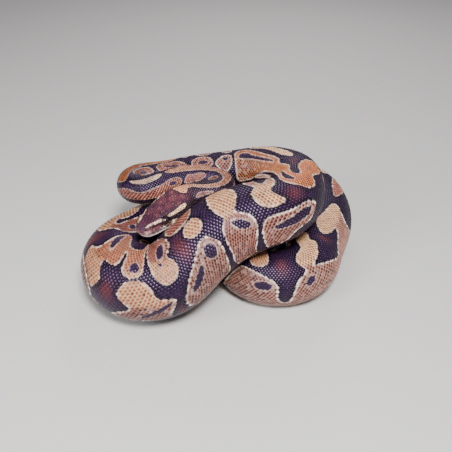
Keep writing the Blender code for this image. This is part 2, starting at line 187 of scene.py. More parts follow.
# ---- markings: kind, outline as (s, turn), and eyes as (s, turn, half length, half turn, slant) ----
# A kind of (a, b, turn) runs from a above that turn to b below it; "dark" is ground inside a marking.
MARKS = (
    ("peach", ((-.5, -40), (.3, -40), (.45, -20), (.7, -4), (1, 4), (1.5, 11), (2.2, 13), (2.8, 12),
         (3.2, 5), (3.6, -3), (4.1, -8), (4.8, -12), (5.6, -17), (6.5, -21), (7.2, -21), (7.9, -19),
         (8.4, -13), (8.6, -5), (8.65, 3), (8.5, 9), (8.1, 15), (7.5, 19), (7.4, 34), (5.2, 38),
         (4.6, 40), (4, 50), (3.5, 42), (3, 37), (2.5, 34), (1.9, 30), (1.5, 27), (1.1, 22), (.8, 14),
         (.5, 6), (.2, 2), (0, 12), (-.2, 19), (-.4, 12), (-.5, 0)), ()),
    ("pink", ((2.2, -28), (2.8, -38), (3.6, -50), (4.4, -58), (4.9, -60), (4.95, -54), (4.6, -46),
         (4.2, -37), (3.7, -26), (3.3, -19), (2.8, -17), (2.4, -20)), ()),
    ("pale", ((8.95, -2), (9, -10), (9.15, -17), (9.5, -24), (9.9, -29), (10.3, -33), (10.8, -33),
         (11.2, -31), (11.25, -26), (11.05, -22), (10.6, -16), (10.2, -10), (9.8, -4), (9.4, 0),
         (9.15, 2)), ()),
    ("pink", ((5.25, -45), (5.35, -54), (5.6, -62), (5.85, -69), (6.2, -73), (6.8, -77), (7.2, -78),
         (7.4, -72), (7.35, -66), (7.2, -58), (7.15, -50), (7, -44), (6.8, -39), (6.4, -41), (6.1, -37),
         (5.8, -31), (5.5, -33), (5.3, -38)), ()),
    ("pink", ((7.55, -60), (7.65, -66), (7.75, -74), (8, -80), (8.5, -84), (9.2, -92), (9.6, -102),
         (12, -102), (12.3, -94), (12.1, -84), (11.8, -74), (11.5, -63), (11.3, -60), (11, -60),
         (10.8, -64), (10.6, -69), (10.3, -66), (10.1, -62), (9.8, -57), (9.4, -53), (9.1, -51),
         (8.9, -46), (8.6, -42), (8.2, -39), (7.9, -44), (7.7, -50)), ((8.45, -62, .3, 8, 0),)),
    ("pink", ((.5, 54), (.7, 46), (1.1, 39), (1.5, 42), (1.9, 46), (1.9, 52), (1.5, 56), (1, 60),
         (.6, 62)), ()),
    (("pink", "orange_and_shade", 8), ((11.55, -28), (11.75, -44), (12.1, -56), (12.4, -68), (12.9, -66),
         (13.3, -50), (14, -40), (15.5, -38), (17.2, -38), (17.5, -26), (17.4, -12), (17, -5), (16.2, -2),
         (15.4, 2), (14.6, 4), (14.1, 8), (13.8, 15), (13.3, 13), (12.8, 8), (12.2, 2), (11.8, -10)), ()),
    ("tan", ((17.9, -22), (18, -40), (18.5, -40), (18.5, -20), (18.3, -10), (18, -12)), ()),
    ("tan", ((18.9, -20), (19, -45), (20.2, -45), (20.3, -24), (20.2, -9), (19.8, -3), (19.2, -6)),
         ((19.5, -24, .18, 9, 0),)),
    ("tan", ((21, -20), (21, -45), (21.8, -45), (21.9, -20), (21.8, -6), (21.3, -5)), ()),
    ("pink", ((11.95, 20), (12.3, 15), (12.8, 14), (13.2, 19), (14, 17), (14.8, 18), (15.1, 23),
         (15.25, 31), (15.35, 39), (15.1, 46), (14.4, 51), (13.5, 55), (12.7, 52), (12.3, 44),
         (12.1, 34)), ((13.75, 42, .72, 6, 0),)),
    ("pink", ((15.6, 22), (15.7, 12), (16, 6), (16.4, 3), (16.9, 5), (17.3, 2), (17.6, 8), (17.9, 15),
         (18.1, 22), (18.3, 30), (18.3, 38), (17.2, 46), (16.1, 42), (15.7, 32)),
         ((16.9, 24.5, .68, 4.5, 5),)),
    ("pink", ((18.7, 28), (18.75, 18), (19, 9), (19.4, 5), (19.8, 6), (20.1, 10), (20.3, 18), (20.45, 28),
         (20.5, 40), (19.8, 50), (19, 44), (18.75, 36)), ((19.65, 29, .42, 7, 0),)),
    ("tan", ((20.6, 34), (20.75, 24), (21, 14), (21.2, 9), (21.5, 7), (21.8, 12), (21.85, 28),
         (21.75, 44), (21.5, 62), (21.2, 60), (20.8, 48)), ((21.35, 22, .2, 6, 0),)),
    ("gold", ((23.3, -24), (24.2, -28), (24.8, -20), (25.3, -10), (26.2, -5), (27, -1), (27.7, 4),
         (27.9, 10), (27.4, 15), (26.7, 17), (26, 13), (25.4, 8), (24.9, 2), (24.4, -4), (23.7, -10),
         (23.3, -16)), ()),
    # The long marking on the right bend, with a slit at its front and an eye at its back.
    # Its ochre back and orange flank are darkened partly as painted shade.
    (("ochre_and_shade", "orange_and_shade", 26), ((22.05, 4), (22.3, -4), (22.6, -9), (23, -7), (23.4, 0), (23.9, 9),
         (24.5, 18), (25.2, 23), (26.2, 27), (27, 31), (27.45, 37), (27.9, 41), (28.4, 39), (28.8, 36),
         (29.1, 30), (29.4, 24), (29.7, 18), (30.1, 16), (30.6, 16), (30.9, 11), (31.1, 3), (31.1, -4),
         (30.85, -8), (30.5, -5), (30.2, -1), (29.8, 1), (29.3, -3), (28.8, -10), (28.5, -18),
         (28.45, -28), (28.2, -36), (28.4, -46), (28.9, -53), (29.4, -50), (29.8, -44), (30.1, -38),
         (30.3, -34), (30.55, -31), (30.75, -36), (30.95, -42), (31.3, -43), (31.6, -39), (31.85, -33),
         (32, -25), (32.2, -18), (32.4, -10), (32.6, 0), (32.6, 10), (32.3, 20), (31.7, 31), (31, 41),
         (30.3, 48), (29.6, 55), (28.9, 63), (28.2, 67), (27, 67), (25.8, 67), (25, 69), (24.4, 72),
         (24, 77), (23.4, 83), (23.2, 88), (22.7, 91), (22.3, 94), (22.1, 86), (22.05, 60), (22.05, 30)),
         ()),
    ("dark", ((22.3, 24), (22.4, 12), (22.7, 7), (23.1, 10), (23.4, 20), (24.1, 28), (25, 33.5),
         (26, 36.5), (26.6, 40), (26, 42), (25, 41), (24.1, 37), (23.2, 30), (22.6, 27)), ()),
    ("dark", ((31.75, -7), (32, -4), (32.2, 4), (32.15, 12), (31.9, 19), (31.4, 26), (30.9, 31),
         (30.55, 36), (30.5, 32), (31, 23), (31.45, 15), (31.65, 7), (31.65, 0)), ()),
    ("pink", ((23.5, 80), (24.2, 75), (25.2, 74.5), (26.2, 76), (27.6, 74.5), (28.2, 76), (27, 80),
         (25.8, 83), (24.4, 85), (23.7, 84)), ()),
    ("tan", ((31.75, -68), (31.9, -77), (32.1, -86), (32.4, -92), (32.9, -95), (33.2, -104), (33.4, -120),
         (34.5, -124), (34.65, -106), (34.7, -92), (34.7, -80), (34.6, -70), (34.45, -63), (34.3, -58),
         (33.8, -57), (33.2, -56), (32.7, -54), (32.4, -52), (32.1, -56), (31.85, -62)), ()),
    ("dark", ((32.2, -76), (32.8, -81), (33.4, -82), (33.9, -82), (34.05, -76), (33.7, -72), (33.1, -67),
         (32.7, -61), (32.3, -62), (32.1, -68)), ()),
    (("tan", "gold", 6), ((33.2, -35), (33.3, -40), (33.7, -43), (34.1, -43), (34.35, -39), (34.55, -32),
         (34.7, -22), (34.75, -14), (34.6, -6), (34.45, 0), (34.5, 5), (34.75, 10), (34.9, 20),
         (34.95, 32), (34.9, 42), (34.2, 48), (33, 46), (32.5, 40), (32.7, 30), (32.9, 20), (33, 10),
         (33.2, 2), (33.5, -5), (33.7, -12), (33.65, -17), (33.5, -23), (33.35, -30)), ()),
    ("dark", ((33.9, 8), (34.2, 12), (34.3, 22), (34.3, 36), (33.7, 42), (33.2, 38), (33.3, 30),
         (33.55, 20), (33.75, 12)), ()),
    (("gold", "tan", -36), ((34.9, -62), (34.9, -70), (35, -77), (35.1, -86), (35.2, -95), (35.4, -103),
         (35.5, -112), (35.5, -124), (37.6, -124), (37.8, -108), (37.85, -99), (37.65, -92), (37.6, -84),
         (37.55, -75), (37.5, -65), (37.4, -57), (37.3, -48), (37.1, -42), (36.9, -37), (36.75, -34),
         (36.85, -29), (37, -23), (37.1, -16), (37.2, -8), (37.2, 0), (37.15, 10), (37.1, 20),
         (37.05, 30), (37, 42), (36, 42), (35.95, 32), (35.85, 24), (35.75, 16), (35.6, 8), (35.5, 0),
         (35.55, -8), (35.65, -18), (35.85, -26), (36, -32), (35.8, -36), (35.5, -41), (35.2, -46),
         (35, -53)), ()),
    ("dark", ((35.2, -62), (35.7, -65), (36.1, -60), (36.5, -50), (36.5, -43), (36.1, -45), (35.7, -49),
         (35.4, -56)), ()),
    ("ash_and_shade", ((37.9, -62), (38, -72), (38.15, -84), (38.35, -96), (38.45, -108), (38.9, -124),
         (41.9, -124), (42.1, -110), (42.1, -96), (41.95, -85), (41.65, -76), (41.4, -68), (41, -60),
         (40.4, -54), (39.8, -47), (39.3, -40), (38.9, -36), (38.5, -36), (38.2, -42), (38, -50)),
         ((38.78, -57, .44, 11, 0), (40.65, -73.5, .82, 6.5, -12.5))),
    ("gold", ((38.05, -12), (38.15, -21), (38.5, -27), (38.9, -27), (39.25, -22), (39.4, -15),
         (39.35, -8), (39.1, -2), (38.8, 2), (38.4, 2), (38.15, -4)), ()),
    (("pink", "gold", -20), ((41.15, -18), (41.05, -13), (40.6, -9), (40.35, -2), (40.3, 8), (40.4, 18),
         (40.7, 27), (41.3, 34), (42, 33), (42.6, 26), (43, 14), (43.2, 2), (43.2, -12), (43.1, -24),
         (43, -36), (42.85, -48), (42.5, -56), (42.2, -57), (41.7, -51), (41.2, -43), (40.95, -34),
         (40.95, -25)), ((41.45, -3, .66, 9, -13), (42.15, -25, .15, 3.5, 0))),
    (("gold", "tan", -86), ((42.4, -82), (42.45, -90), (42.65, -98), (42.85, -108), (42.95, -124),
         (45.4, -126), (45.35, -118), (45, -107), (44.7, -100), (44.35, -94), (44.3, -87), (44.5, -80),
         (44.7, -76), (44.75, -66), (44.6, -56), (44.4, -49), (44.1, -45), (43.75, -45), (43.5, -50),
         (43.3, -57), (43.2, -66), (43.15, -73), (42.95, -77), (42.6, -79)),
         ((43.35, -98.5, .78, 4.6, -17),)),
    # Three on the lobe that run together: one down its left, one with an eye, and a small one.
    (("peach", "gold", -34), ((45.65, -60), (45.8, -68), (46, -76), (46.3, -80), (46.6, -79), (46.8, -71),
         (47, -62), (47.3, -50), (47.5, -41), (47.4, -35), (47.1, -30), (46.95, -25), (46.95, -15),
         (47.1, -5), (47.35, 5), (47.6, 15), (47.75, 24), (47.3, 29), (46.7, 27), (46, 21), (45.5, 14),
         (45.1, 9), (44.4, 6), (43.8, 8), (43.5, 12), (43.35, 22), (43.1, 32), (42.6, 30), (43, 16),
         (43.3, 6), (43.42, -4), (43.45, -14), (43.5, -26), (43.65, -37), (44, -43), (44.3, -43),
         (44.6, -38), (44.75, -30), (44.75, -16), (44.85, -6), (45.05, -2), (45, -12), (44.98, -22),
         (45.1, -29), (45.4, -32), (45.8, -29), (45.95, -35), (45.85, -43), (45.7, -52)),
         ((46.75, 2.5, .6, 8, 19), (44.05, -27, .27, 7.5, 0))),
    ("pale", ((45.8, -112), (46.1, -112), (46.6, -102), (47.1, -90), (47.3, -82), (47.1, -82),
         (46.6, -92), (46.1, -102)), ()),
    (("pink", "gold", -10), ((48.45, -25), (48.7, -33), (48.95, -41), (49.3, -50), (50.4, -50),
         (51.6, -46), (52.4, -38), (52.4, -26), (52.1, -16), (51.5, -7), (50.8, -4), (50.2, -4),
         (49.9, -10), (49.6, -13), (49.3, -9), (49.15, -3), (49.35, 1), (49.9, 3), (50.6, 7), (51.3, 8),
         (52, 4), (52.8, -2), (53.2, 2), (52, 14), (50.8, 24), (49.6, 33), (48.9, 30), (48.4, 25),
         (48.15, 17), (48.15, 11), (48.45, 4), (48.55, -4), (48.5, -13)), ((49.55, 20, .42, 5, 0),)),
    ("pink", ((38.1, 30), (38.2, 18), (38.5, 8), (38.9, 3), (39.7, 3), (40.1, 8), (40.2, 20), (40, 34),
         (39.3, 46), (38.3, 46)), ()),
    ("pink", ((41.9, 40), (43.9, 34), (45.9, 38), (47.9, 46), (49.9, 54), (49.9, 64), (46.9, 62),
         (43.9, 54), (41.9, 54)), ()),
    ("pink", ((69.4, -38), (69.8, -30), (70.2, -23), (70.8, -18), (71.4, -15), (72, -15), (72.15, -19),
         (71.9, -26), (71.5, -34), (71.2, -42), (70.8, -50), (70.5, -56), (69.9, -54), (69.5, -46)), ()),
    ("gold", ((68.3, -26), (68.5, -37), (69, -36), (69.05, -26), (68.95, -20), (68.6, -18)), ()),
    (("gold", "ash_and_shade", -33), ((73.5, -34), (73.8, -42), (74.05, -52), (74.05, -62), (73.95, -74),
         (73.8, -86), (74, -104), (76, -118), (79, -133), (83, -137), (84.6, -118), (84.3, -92),
         (83.9, -62), (83.6, -36), (83.3, -34), (82.8, -37), (82.3, -43), (81.9, -49), (81.6, -56),
         (81.45, -65), (81.45, -78), (81.5, -92), (81.3, -108), (80.95, -108), (80.8, -92), (80.65, -72),
         (80.5, -58), (80.2, -50), (79.95, -43), (80, -37), (80.15, -30), (80.25, -22), (80.2, -10),
         (79.95, -2), (79.5, 5), (79.1, 12), (78.9, 20), (78.5, 28), (78, 36), (77.6, 42), (77.1, 34),
         (77, 22), (77.4, 14), (77.9, 9), (78, 3), (78, -3), (78.2, -10), (78.6, -17), (78.9, -25),
         (79.3, -32), (79.5, -38), (79.2, -41), (78.9, -45), (78.5, -52), (78.2, -58), (77.9, -64),
         (77.6, -63), (77.3, -57), (76.8, -51), (76.2, -48), (75.8, -45), (75.6, -40), (75.45, -34),
         (76, -32), (76.4, -28), (76.8, -20), (76.95, -12), (76.6, -5), (76.2, 1), (75.8, 5), (75.2, 6),
         (74.6, 1), (74, -4), (73.4, -8), (73.05, -14), (73, -20), (73.2, -28)),
         ((79.87, -64, .24, 8, -12), (82.15, -66, .42, 9, 0))),
    ("pale", ((77.4, 76), (77.7, 58), (78.1, 50), (78.6, 48), (79.3, 47), (79.2, 52), (78.7, 58),
         (78.2, 66), (77.9, 76)), ()),
    ("gold", ((82, -18), (82.2, -24), (82.5, -27), (82.8, -27), (83.1, -22), (83.25, -12), (83.15, 0),
         (83.05, 12), (82.95, 24), (82.8, 36), (82.5, 36), (82.3, 22), (82.1, 8), (82, -6)), ()),
)
# Regular markings on the lengths and flanks that lie under or behind:
# kind, first and last s, spacing, turn, half length, half turn, with eyes or not.
ROWS_OF_MARKS = (
    ("tan", 1.0, 4.6, 2.0, -88, 0.7, 26, True),
    ("tan", 3.6, 11.5, 2.1, 88, 0.8, 26, True),
    ("tan", 14.0, 30.8, 2.5, -98, 0.95, 34, True),
    ("tan", 34.4, 52.0, 3.1, 100, 1.2, 30, True),
    ("gold", 54.3, 67.5, 3.3, 0, 0.9, 22, False),
    ("tan", 47.5, 73.0, 3.2, -92, 1.25, 34, True),
    ("tan", 54.7, 85.0, 3.2, 100, 1.25, 30, True),
    ("gold", 85.4, 96.4, 2.0, 0, 0.6, 26, False),
    ("tan", 86.4, 96.0, 2.0, 92, 0.7, 34, False),
    ("tan", 86.4, 96.0, 2.0, -92, 0.7, 34, False),
)
# Reddish hazes on the back's dark ground: s, turn, half length, half turn.
HAZES = (
    (29.0, 10, 0.6, 8), (32.6, -30, 0.4, 12), (40.0, -24, 0.45, 18), (45.25, -70, 0.32, 14),
    (48.0, -38, 0.35, 20), (81.2, -25, 0.3, 14), (56.0, 0, 0.6, 14), (62.5, 0, 0.6, 14),
    (42.4, -114, 0.2, 14), (36.0, -66, 0.7, 10), (77.4, -20, 0.2, 12),
)
# Reddish blotches on the crown: distance behind the snout tip, place across, and size.
CROWN_BLOTCHES = (
    (3.3, 0.10, 0.38), (2.65, -0.35, 0.28), (2.6, 0.42, 0.24), (3.8, -0.45, 0.30), (3.9, 0.50, 0.26),
    (2.0, 0.05, 0.22), (1.45, -0.30, 0.17), (1.5, 0.30, 0.15), (3.1, -0.80, 0.18), (3.2, 0.85, 0.18),
)
# The head's own marks, drawn on the left and mirrored on the right.
HEAD_MARKS = (
    ("pale", ((-4.22, 38), (-4.1, 31), (-3.85, 32), (-3.6, 38), (-3.3, 43), (-3, 46), (-2.9, 53),
         (-3, 61), (-3.3, 59), (-3.6, 53), (-3.9, 47), (-4.15, 45)), ()),
    ("gold", ((-2.64, 52), (-2.35, 49), (-1.95, 49), (-1.55, 45), (-1.2, 42), (-.95, 46), (-.95, 56),
         (-1.25, 62), (-1.7, 63), (-2.2, 61), (-2.6, 60)), ()),
    ("pale", ((-3.2, 84), (-2.8, 82), (-2.3, 83), (-2, 87), (-2.2, 92), (-2.6, 97), (-3.1, 97)), ()),
)


# ---- the body's line ----
def head_axis():
    yaw, pitch = math.radians(HEAD_YAW), math.radians(HEAD_PITCH)
    flat = math.cos(pitch)
    return np.array([math.cos(yaw) * flat, math.sin(yaw) * flat, math.sin(pitch)])


def waypoints():
    """The centreline's points: four along the head, then those of the stretches."""
    skull = np.array(SKULL)
    points = [skull + head_axis() * HEAD_LENGTH * k for k in (1.0, 0.66, 0.33, 0.0)]
    for _, sizes in STRETCHES:
        if len(sizes) == 3:
            points.append(np.array(sizes))
            continue
        x, y, radius, first, last, low, high = sizes
        count = max(2, round(abs(math.radians(last - first)) * radius / ARC_STEP)) + 1
        for k in np.linspace(0, 1, count):
            turn = math.radians(first + (last - first) * k)
            height = low + (high - low) * k
            points.append(np.array([x + radius * math.cos(turn), y + radius * math.sin(turn), height]))
    return np.array(points)


def spline(points, steps=6000):
    """A natural cubic through the points, sampled evenly in its own parameter."""
    knots = np.concatenate([[0], np.cumsum(np.linalg.norm(np.diff(points, axis=0), axis=1) ** 0.75)])
    gap = np.diff(knots)
    count = len(points)
    system, right = np.eye(count), np.zeros((count, 3))
    slope = np.diff(points, axis=0) / gap[:, None]
    for i in range(1, count - 1):
        system[i, i - 1:i + 2] = gap[i - 1], 2 * (gap[i - 1] + gap[i]), gap[i]
        right[i] = 6 * (slope[i] - slope[i - 1])
    bend = np.linalg.solve(system, right)
    at = np.linspace(0, knots[-1], steps)
    i = np.clip(np.searchsorted(knots, at, side="right") - 1, 0, count - 2)
    near, far, h = (at - knots[i])[:, None], (knots[i + 1] - at)[:, None], gap[i][:, None]
    return ((bend[i] * far ** 3 + bend[i + 1] * near ** 3) / (6 * h)
            + (points[i] / h - bend[i] * h / 6) * far + (points[i + 1] / h - bend[i + 1] * h / 6) * near)


def softened(rows, width):
    """Rows smoothed by a Gaussian of this many samples, with the ends held."""
    reach = 3 * width
    weight = np.exp(-0.5 * (np.arange(-reach, reach + 1) / width) ** 2)
    weight /= weight.sum()
    first = 2 * rows[0] - rows[reach:0:-1]
    last = 2 * rows[-1] - rows[-2:-reach - 2:-1]
    padded = np.concatenate([first, rows, last])
    return np.stack([np.convolve(column, weight, "valid") for column in padded.T], 1)


def columns_at(x, known, rows):
    """Every column of a table, read at x."""
    return np.stack([np.interp(x, known, column) for column in rows.T], -1)


def unit(rows):
    return rows / np.maximum(np.linalg.norm(rows, axis=-1, keepdims=True), 1e-9)


class Centreline:
    """Position, direction, body radius and sharpness of bend at a length s."""

    def __init__(self):
        dense = spline(waypoints())
        length = np.concatenate([[0], np.cumsum(np.linalg.norm(np.diff(dense, axis=0), axis=1))])
        self.s = np.arange(0, length[-1], LINE_STEP) - HEAD_LENGTH
        self.end = float(self.s[-1])
        raw = columns_at(self.s + HEAD_LENGTH, length, dense)
        self.centre = np.hstack([softened(raw[:, :2], 12), softened(raw[:, 2:], 28)])
        self.along = unit(np.gradient(self.centre, axis=0))
        girth = np.array(GIRTH, float)
        self.radius = softened(columns_at(self.s, girth[:, 0], girth[:, 1:]), 24)[:, 0]
        bend = np.linalg.norm(np.gradient(self.along, axis=0), axis=1) / LINE_STEP
        self.bend = softened(np.minimum(bend, 0.8)[:, None], 30)[:, 0]

    def radius_at(self, s):
        return np.interp(s, self.s, self.radius)

    def at(self, s):
        """Centre, the way along, the way up, the way to the snake's left, and the radius."""
        along = unit(columns_at(s, self.s, self.along))
        left = unit(np.cross(along, (0, 0, 1.0)))
        return columns_at(s, self.s, self.centre), along, np.cross(left, along), left, self.radius_at(s)


LINE = Centreline()


# ---- the head's plain outline ----
def smooth_table(values):
    """A table of the head's outline, smoothed along the square root of the distance from the snout."""
    root = np.linspace(0, math.sqrt(OUTLINE_AT[-1]), 600)
    rows = softened(np.interp(root ** 2, OUTLINE_AT, values)[:, None], 14)[:, 0]
    rows -= rows[0] * (1 - np.clip(root / 0.1, 0, 1))
    return root, rows


TABLES = [smooth_table(k) for k in (HALF_WIDTH, HEIGHT_ABOVE, DEPTH_BELOW)]


def head_outline(s):
    """Half width, height above and below the axis, and squareness of the head and neck at s."""
    share = np.clip((np.asarray(s, float) + HEAD_LENGTH) / HEAD_LENGTH, 0, OUTLINE_AT[-1])
    wide, above, below = (np.interp(np.sqrt(share), root, rows) for root, rows in TABLES)
    return wide, above, below, np.interp(share, *SQUARENESS)


def bent(value, power):
    """A power that keeps the sign."""
    return np.sign(value) * np.abs(value) ** power


def head_place(s, turn):
    """Distance behind the snout tip, and place across and above the axis, on the plain outline."""
    wide, above, below, square = head_outline(s)
    z = bent(np.cos(turn), 2 / square)
    return s + HEAD_LENGTH, bent(np.sin(turn), 2 / square) * wide, z * np.where(z > 0, above, below)


def mouth_height(u):
    """Height of the mouth line above the head's axis."""
    return np.interp(u, *MOUTH_LINE)


def bell(distance, width):
    return np.exp(-(distance / width) ** 2)


def nostril(u, x, z):
    """Distance from the nearer nostril, which is drawn out sideways."""
    at, beside, above = NOSTRIL
    return np.sqrt((u - at) ** 2 + (z - above) ** 2 + ((np.abs(x) - beside) * 0.35) ** 2)


def sculpted(u, x, z):
    """How far the head's skin stands out from its plain outline."""
    beside = np.clip((np.abs(x) - 0.35) / 0.25, 0, 1)
    over_mouth = z - mouth_height(u)
    eye = np.hypot(u - EYE_FROM_SNOUT, z - EYE_HEIGHT)
    out = np.zeros(np.shape(x))
    for _, amount, away, reach in EYE_RELIEF:
        out += amount * bell(eye - away, reach) * beside
    for _, amount, at, long, height, tall in CHEEK_RELIEF:
        out += amount * bell(u - at, long) * bell(z - height, tall) * beside
    lip = np.clip((3.5 - u) / 0.3, 0, 1) * np.clip(u / 0.1, 0, 1)
    for _, amount, height, tall in LIP_RELIEF:
        out += amount * bell(over_mouth - height, tall) * lip
    out -= 0.090 * np.clip(1 - nostril(u, x, z) / 0.10, 0, 1) ** 0.7
    for at in HEAT_PITS:
        out -= 0.030 * bell(np.hypot(u - at, over_mouth - 0.15), 0.055) * beside
    out -= 0.035 * bell(x, 0.10) * bell(z - 0.80, 0.3) * bell(u - 2.6, 0.8)     # the crown's groove
    return out


def eye_centres():
    centre, _, up, left, _ = (k[0] for k in LINE.at(np.array([EYE_FROM_SNOUT - HEAD_LENGTH])))
    middle = centre + up * EYE_HEIGHT
    return {"eye_left": middle + left * EYE_SIDEWAYS, "eye_right": middle - left * EYE_SIDEWAYS}


LOW, HIGH = (np.array(corner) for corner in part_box("eye_left"))
SHIFT = (LOW + HIGH) / 2 / UNIT - eye_centres()["eye_left"]      # from the plan's origin to the frame's
SHIFT[2] = 0
EYES = {name: centre + SHIFT for name, centre in eye_centres().items()}


# ---- the body's surface ----
def ring(s, turn):
    """Points of the plain outline at lengths s and angles turn."""
    centre, _, up, left, radius = LINE.at(s)
    wide, above, below, square = head_outline(s)
    neck = np.clip((s - 0.4) / 2.0, 0, 1)
    wide, above, below = (np.where(s > 0, k + (radius - k) * neck, k) for k in (wide, above, below))
    power = 2 / square[:, None]
    across = bent(np.sin(turn), power) * wide[:, None]
    height = bent(np.cos(turn), power)
    height = height * np.where(height > 0, above[:, None], below[:, None])
    return centre[:, None] + left[:, None] * across[..., None] + up[:, None] * height[..., None]


def clear_of_head(points, spare=1.06):
    """Whether points are outside the head, which doesn't give way as the soft body does."""
    s = np.arange(-HEAD_LENGTH + 0.3, 0.7, 0.35)
    centre, along, up, left, _ = LINE.at(s)
    wide, above, below, power = head_outline(s)
    clear = np.ones(points.shape[:-1], bool)
    for k in range(len(s)):
        away = points - centre[k]
        height = away @ up[k]
        depth = np.where(height > 0, above[k], below[k])
        shape = np.abs((away @ left[k]) / wide[k]) ** power[k] + np.abs(height / depth) ** power[k]
        clear &= shape + ((away @ along[k]) / depth) ** 2 > spare ** power[k]
    return clear


def share_left(s, turn):
    """How much of its radius each point of these rings keeps where another coil or the head is met."""
    centre, _, _, _, radius = LINE.at(s)
    out = ring(s, turn) - centre[:, None]
    middle = centre.mean(axis=0)
    others = np.flatnonzero(LINE.s > 0.5)[::6]
    near = np.linalg.norm(LINE.centre[others] - middle, axis=1) < LINE.radius[others] + radius.max() + 4
    others = others[near]
    their_s, their_centre, their_radius = LINE.s[others], LINE.centre[others], LINE.radius[others]
    reach = radius[:, None] + their_radius[None]
    far = np.clip(np.abs(s[:, None] - their_s[None]) / reach - 1.6, 0, 1)
    margin = -0.03 + far * (0.03 + COIL_GAP / reach * 2)
    margin = np.where(s[:, None] < HEAD_TO, -9, margin)
    soft = s[:, None] > 2.5
    by_head = np.linalg.norm(middle - (np.array(SKULL) + head_axis() * 2.3)) < 10
    own = np.linalg.norm(out, axis=2) / radius[:, None]

    def clear(share):
        at = centre[:, None] + out * share[..., None]
        away = np.linalg.norm(at[:, :, None] - their_centre[None, None], axis=3) / their_radius
        good = (away - margin[:, None] >= (own * share)[..., None]).all(axis=2)
        return good & (clear_of_head(at) | ~soft) if by_head else good

    low, high = np.where(clear(np.ones(own.shape)), 1.0, 0.2), np.ones(own.shape)
    for _ in range(8):
        halfway = (low + high) / 2
        good = clear(halfway)
        low, high = np.where(good, halfway, low), np.where(good, high, halfway)
    return low


class Surface:
    """The skin's outline as a grid over s and turn, with its normals."""

    def __init__(self):
        share = (np.arange(HEAD_ROWS) + 0.6) / HEAD_ROWS
        head = -HEAD_LENGTH + (HEAD_LENGTH + HEAD_SEAM) * share ** 1.5
        self.s = np.concatenate([head, np.arange(HEAD_SEAM + BODY_STEP, LINE.end - 0.08, BODY_STEP)])
        self.turn = np.arange(COLUMNS) * CIRCLE / COLUMNS
        centre, _, up, left, _ = (k[:, None] for k in LINE.at(self.s))
        out = (ring(self.s, self.turn) - centre) * self.kept_share()[..., None]
        low = centre[..., 2] + out[..., 2]
        out *= np.where(low < 0, centre[..., 2] / np.maximum(-out[..., 2], 1e-6), 1)[..., None]
        size = np.linalg.norm(out, axis=2, keepdims=True)
        depth = np.interp(self.s, *SKIN_DEPTH)[:, None, None]
        out *= 1 - np.minimum(depth / np.maximum(size, 1e-6), 0.5)
        self.points = centre + out
        u = (self.s + HEAD_LENGTH)[:, None]
        lift = sculpted(u, (out * left).sum(2), (out * up).sum(2)) * np.clip((HEAD_LENGTH - u) / 0.8, 0, 1)
        self.points = self.points + self.find_normals() * lift[..., None] + SHIFT
        self.normals = self.find_normals()
        self.tip = np.array(SKULL) + head_axis() * (HEAD_LENGTH - SKIN_DEPTH[1][0]) + SHIFT

    def kept_share(self):
        """The share of the radius that is kept, found on a coarser grid and softened."""
        coarse_s = np.arange(0.5, LINE.end, 2 * BODY_STEP)
        kept = np.concatenate([share_left(part, self.turn[::2]) for part in np.array_split(coarse_s, 24)])
        for _ in range(2):
            kept = (np.roll(kept, 1, 1) + 2 * kept + np.roll(kept, -1, 1)) / 4
            kept[1:-1] = (kept[:-2] + 2 * kept[1:-1] + kept[2:]) / 4
        fine = np.stack([kept, (kept + np.roll(kept, -1, 1)) / 2], -1).reshape(len(kept), COLUMNS)
        full = columns_at(self.s, coarse_s, fine)
        full[self.s < HEAD_TO] = 1
        return full

    def find_normals(self):
        by_turn = np.roll(self.points, -1, 1) - np.roll(self.points, 1, 1)
        return unit(np.cross(by_turn, np.gradient(self.points, axis=0)))

    def at(self, s, turn, lift):
        """Points this far off the surface, between the grid's own points."""
        row = np.interp(s, self.s, np.arange(len(self.s)))
        column = (turn % CIRCLE) / CIRCLE * COLUMNS
        i = np.clip(row.astype(int), 0, len(self.s) - 2)
        j = column.astype(int) % COLUMNS
        k = (j + 1) % COLUMNS
        fi, fj = (row - i)[..., None], (column - column.astype(int))[..., None]

        def blend(grid):
            return ((grid[i, j] * (1 - fj) + grid[i, k] * fj) * (1 - fi)
                    + (grid[i + 1, j] * (1 - fj) + grid[i + 1, k] * fj) * fi)

        return blend(self.points) + unit(blend(self.normals)) * np.asarray(lift)[..., None]


# ---- colours ----
def roll_at(s):
    """How far the back's midline has rolled round from the top, in radians."""
    return np.radians(np.interp(s, *zip(*ROLL)))


def cut_corners(points, share):
    ahead = np.roll(points, -1, 0)
    kept = 1 - share
    return np.stack([points * kept + ahead * share, points * share + ahead * kept], 1).reshape(-1, 2)


def depth_inside(points, outline):
    """Distance of points inside a closed outline, negative outside."""
    best = np.full(len(points), 1e9)
    inside = np.zeros(len(points), bool)
    for a, b in zip(outline, np.roll(outline, -1, 0)):
        edge, away = b - a, points - a
        share = np.clip((away @ edge) / max(edge @ edge, 1e-12), 0, 1)
        best = np.minimum(best, ((away - share[:, None] * edge) ** 2).sum(1))
        if a[1] != b[1]:
            crosses = (a[1] > points[:, 1]) != (b[1] > points[:, 1])
            inside ^= crosses & (points[:, 0] < (points[:, 1] - a[1]) * edge[0] / edge[1] + a[0])
    return np.where(inside, 1, -1) * np.sqrt(best)


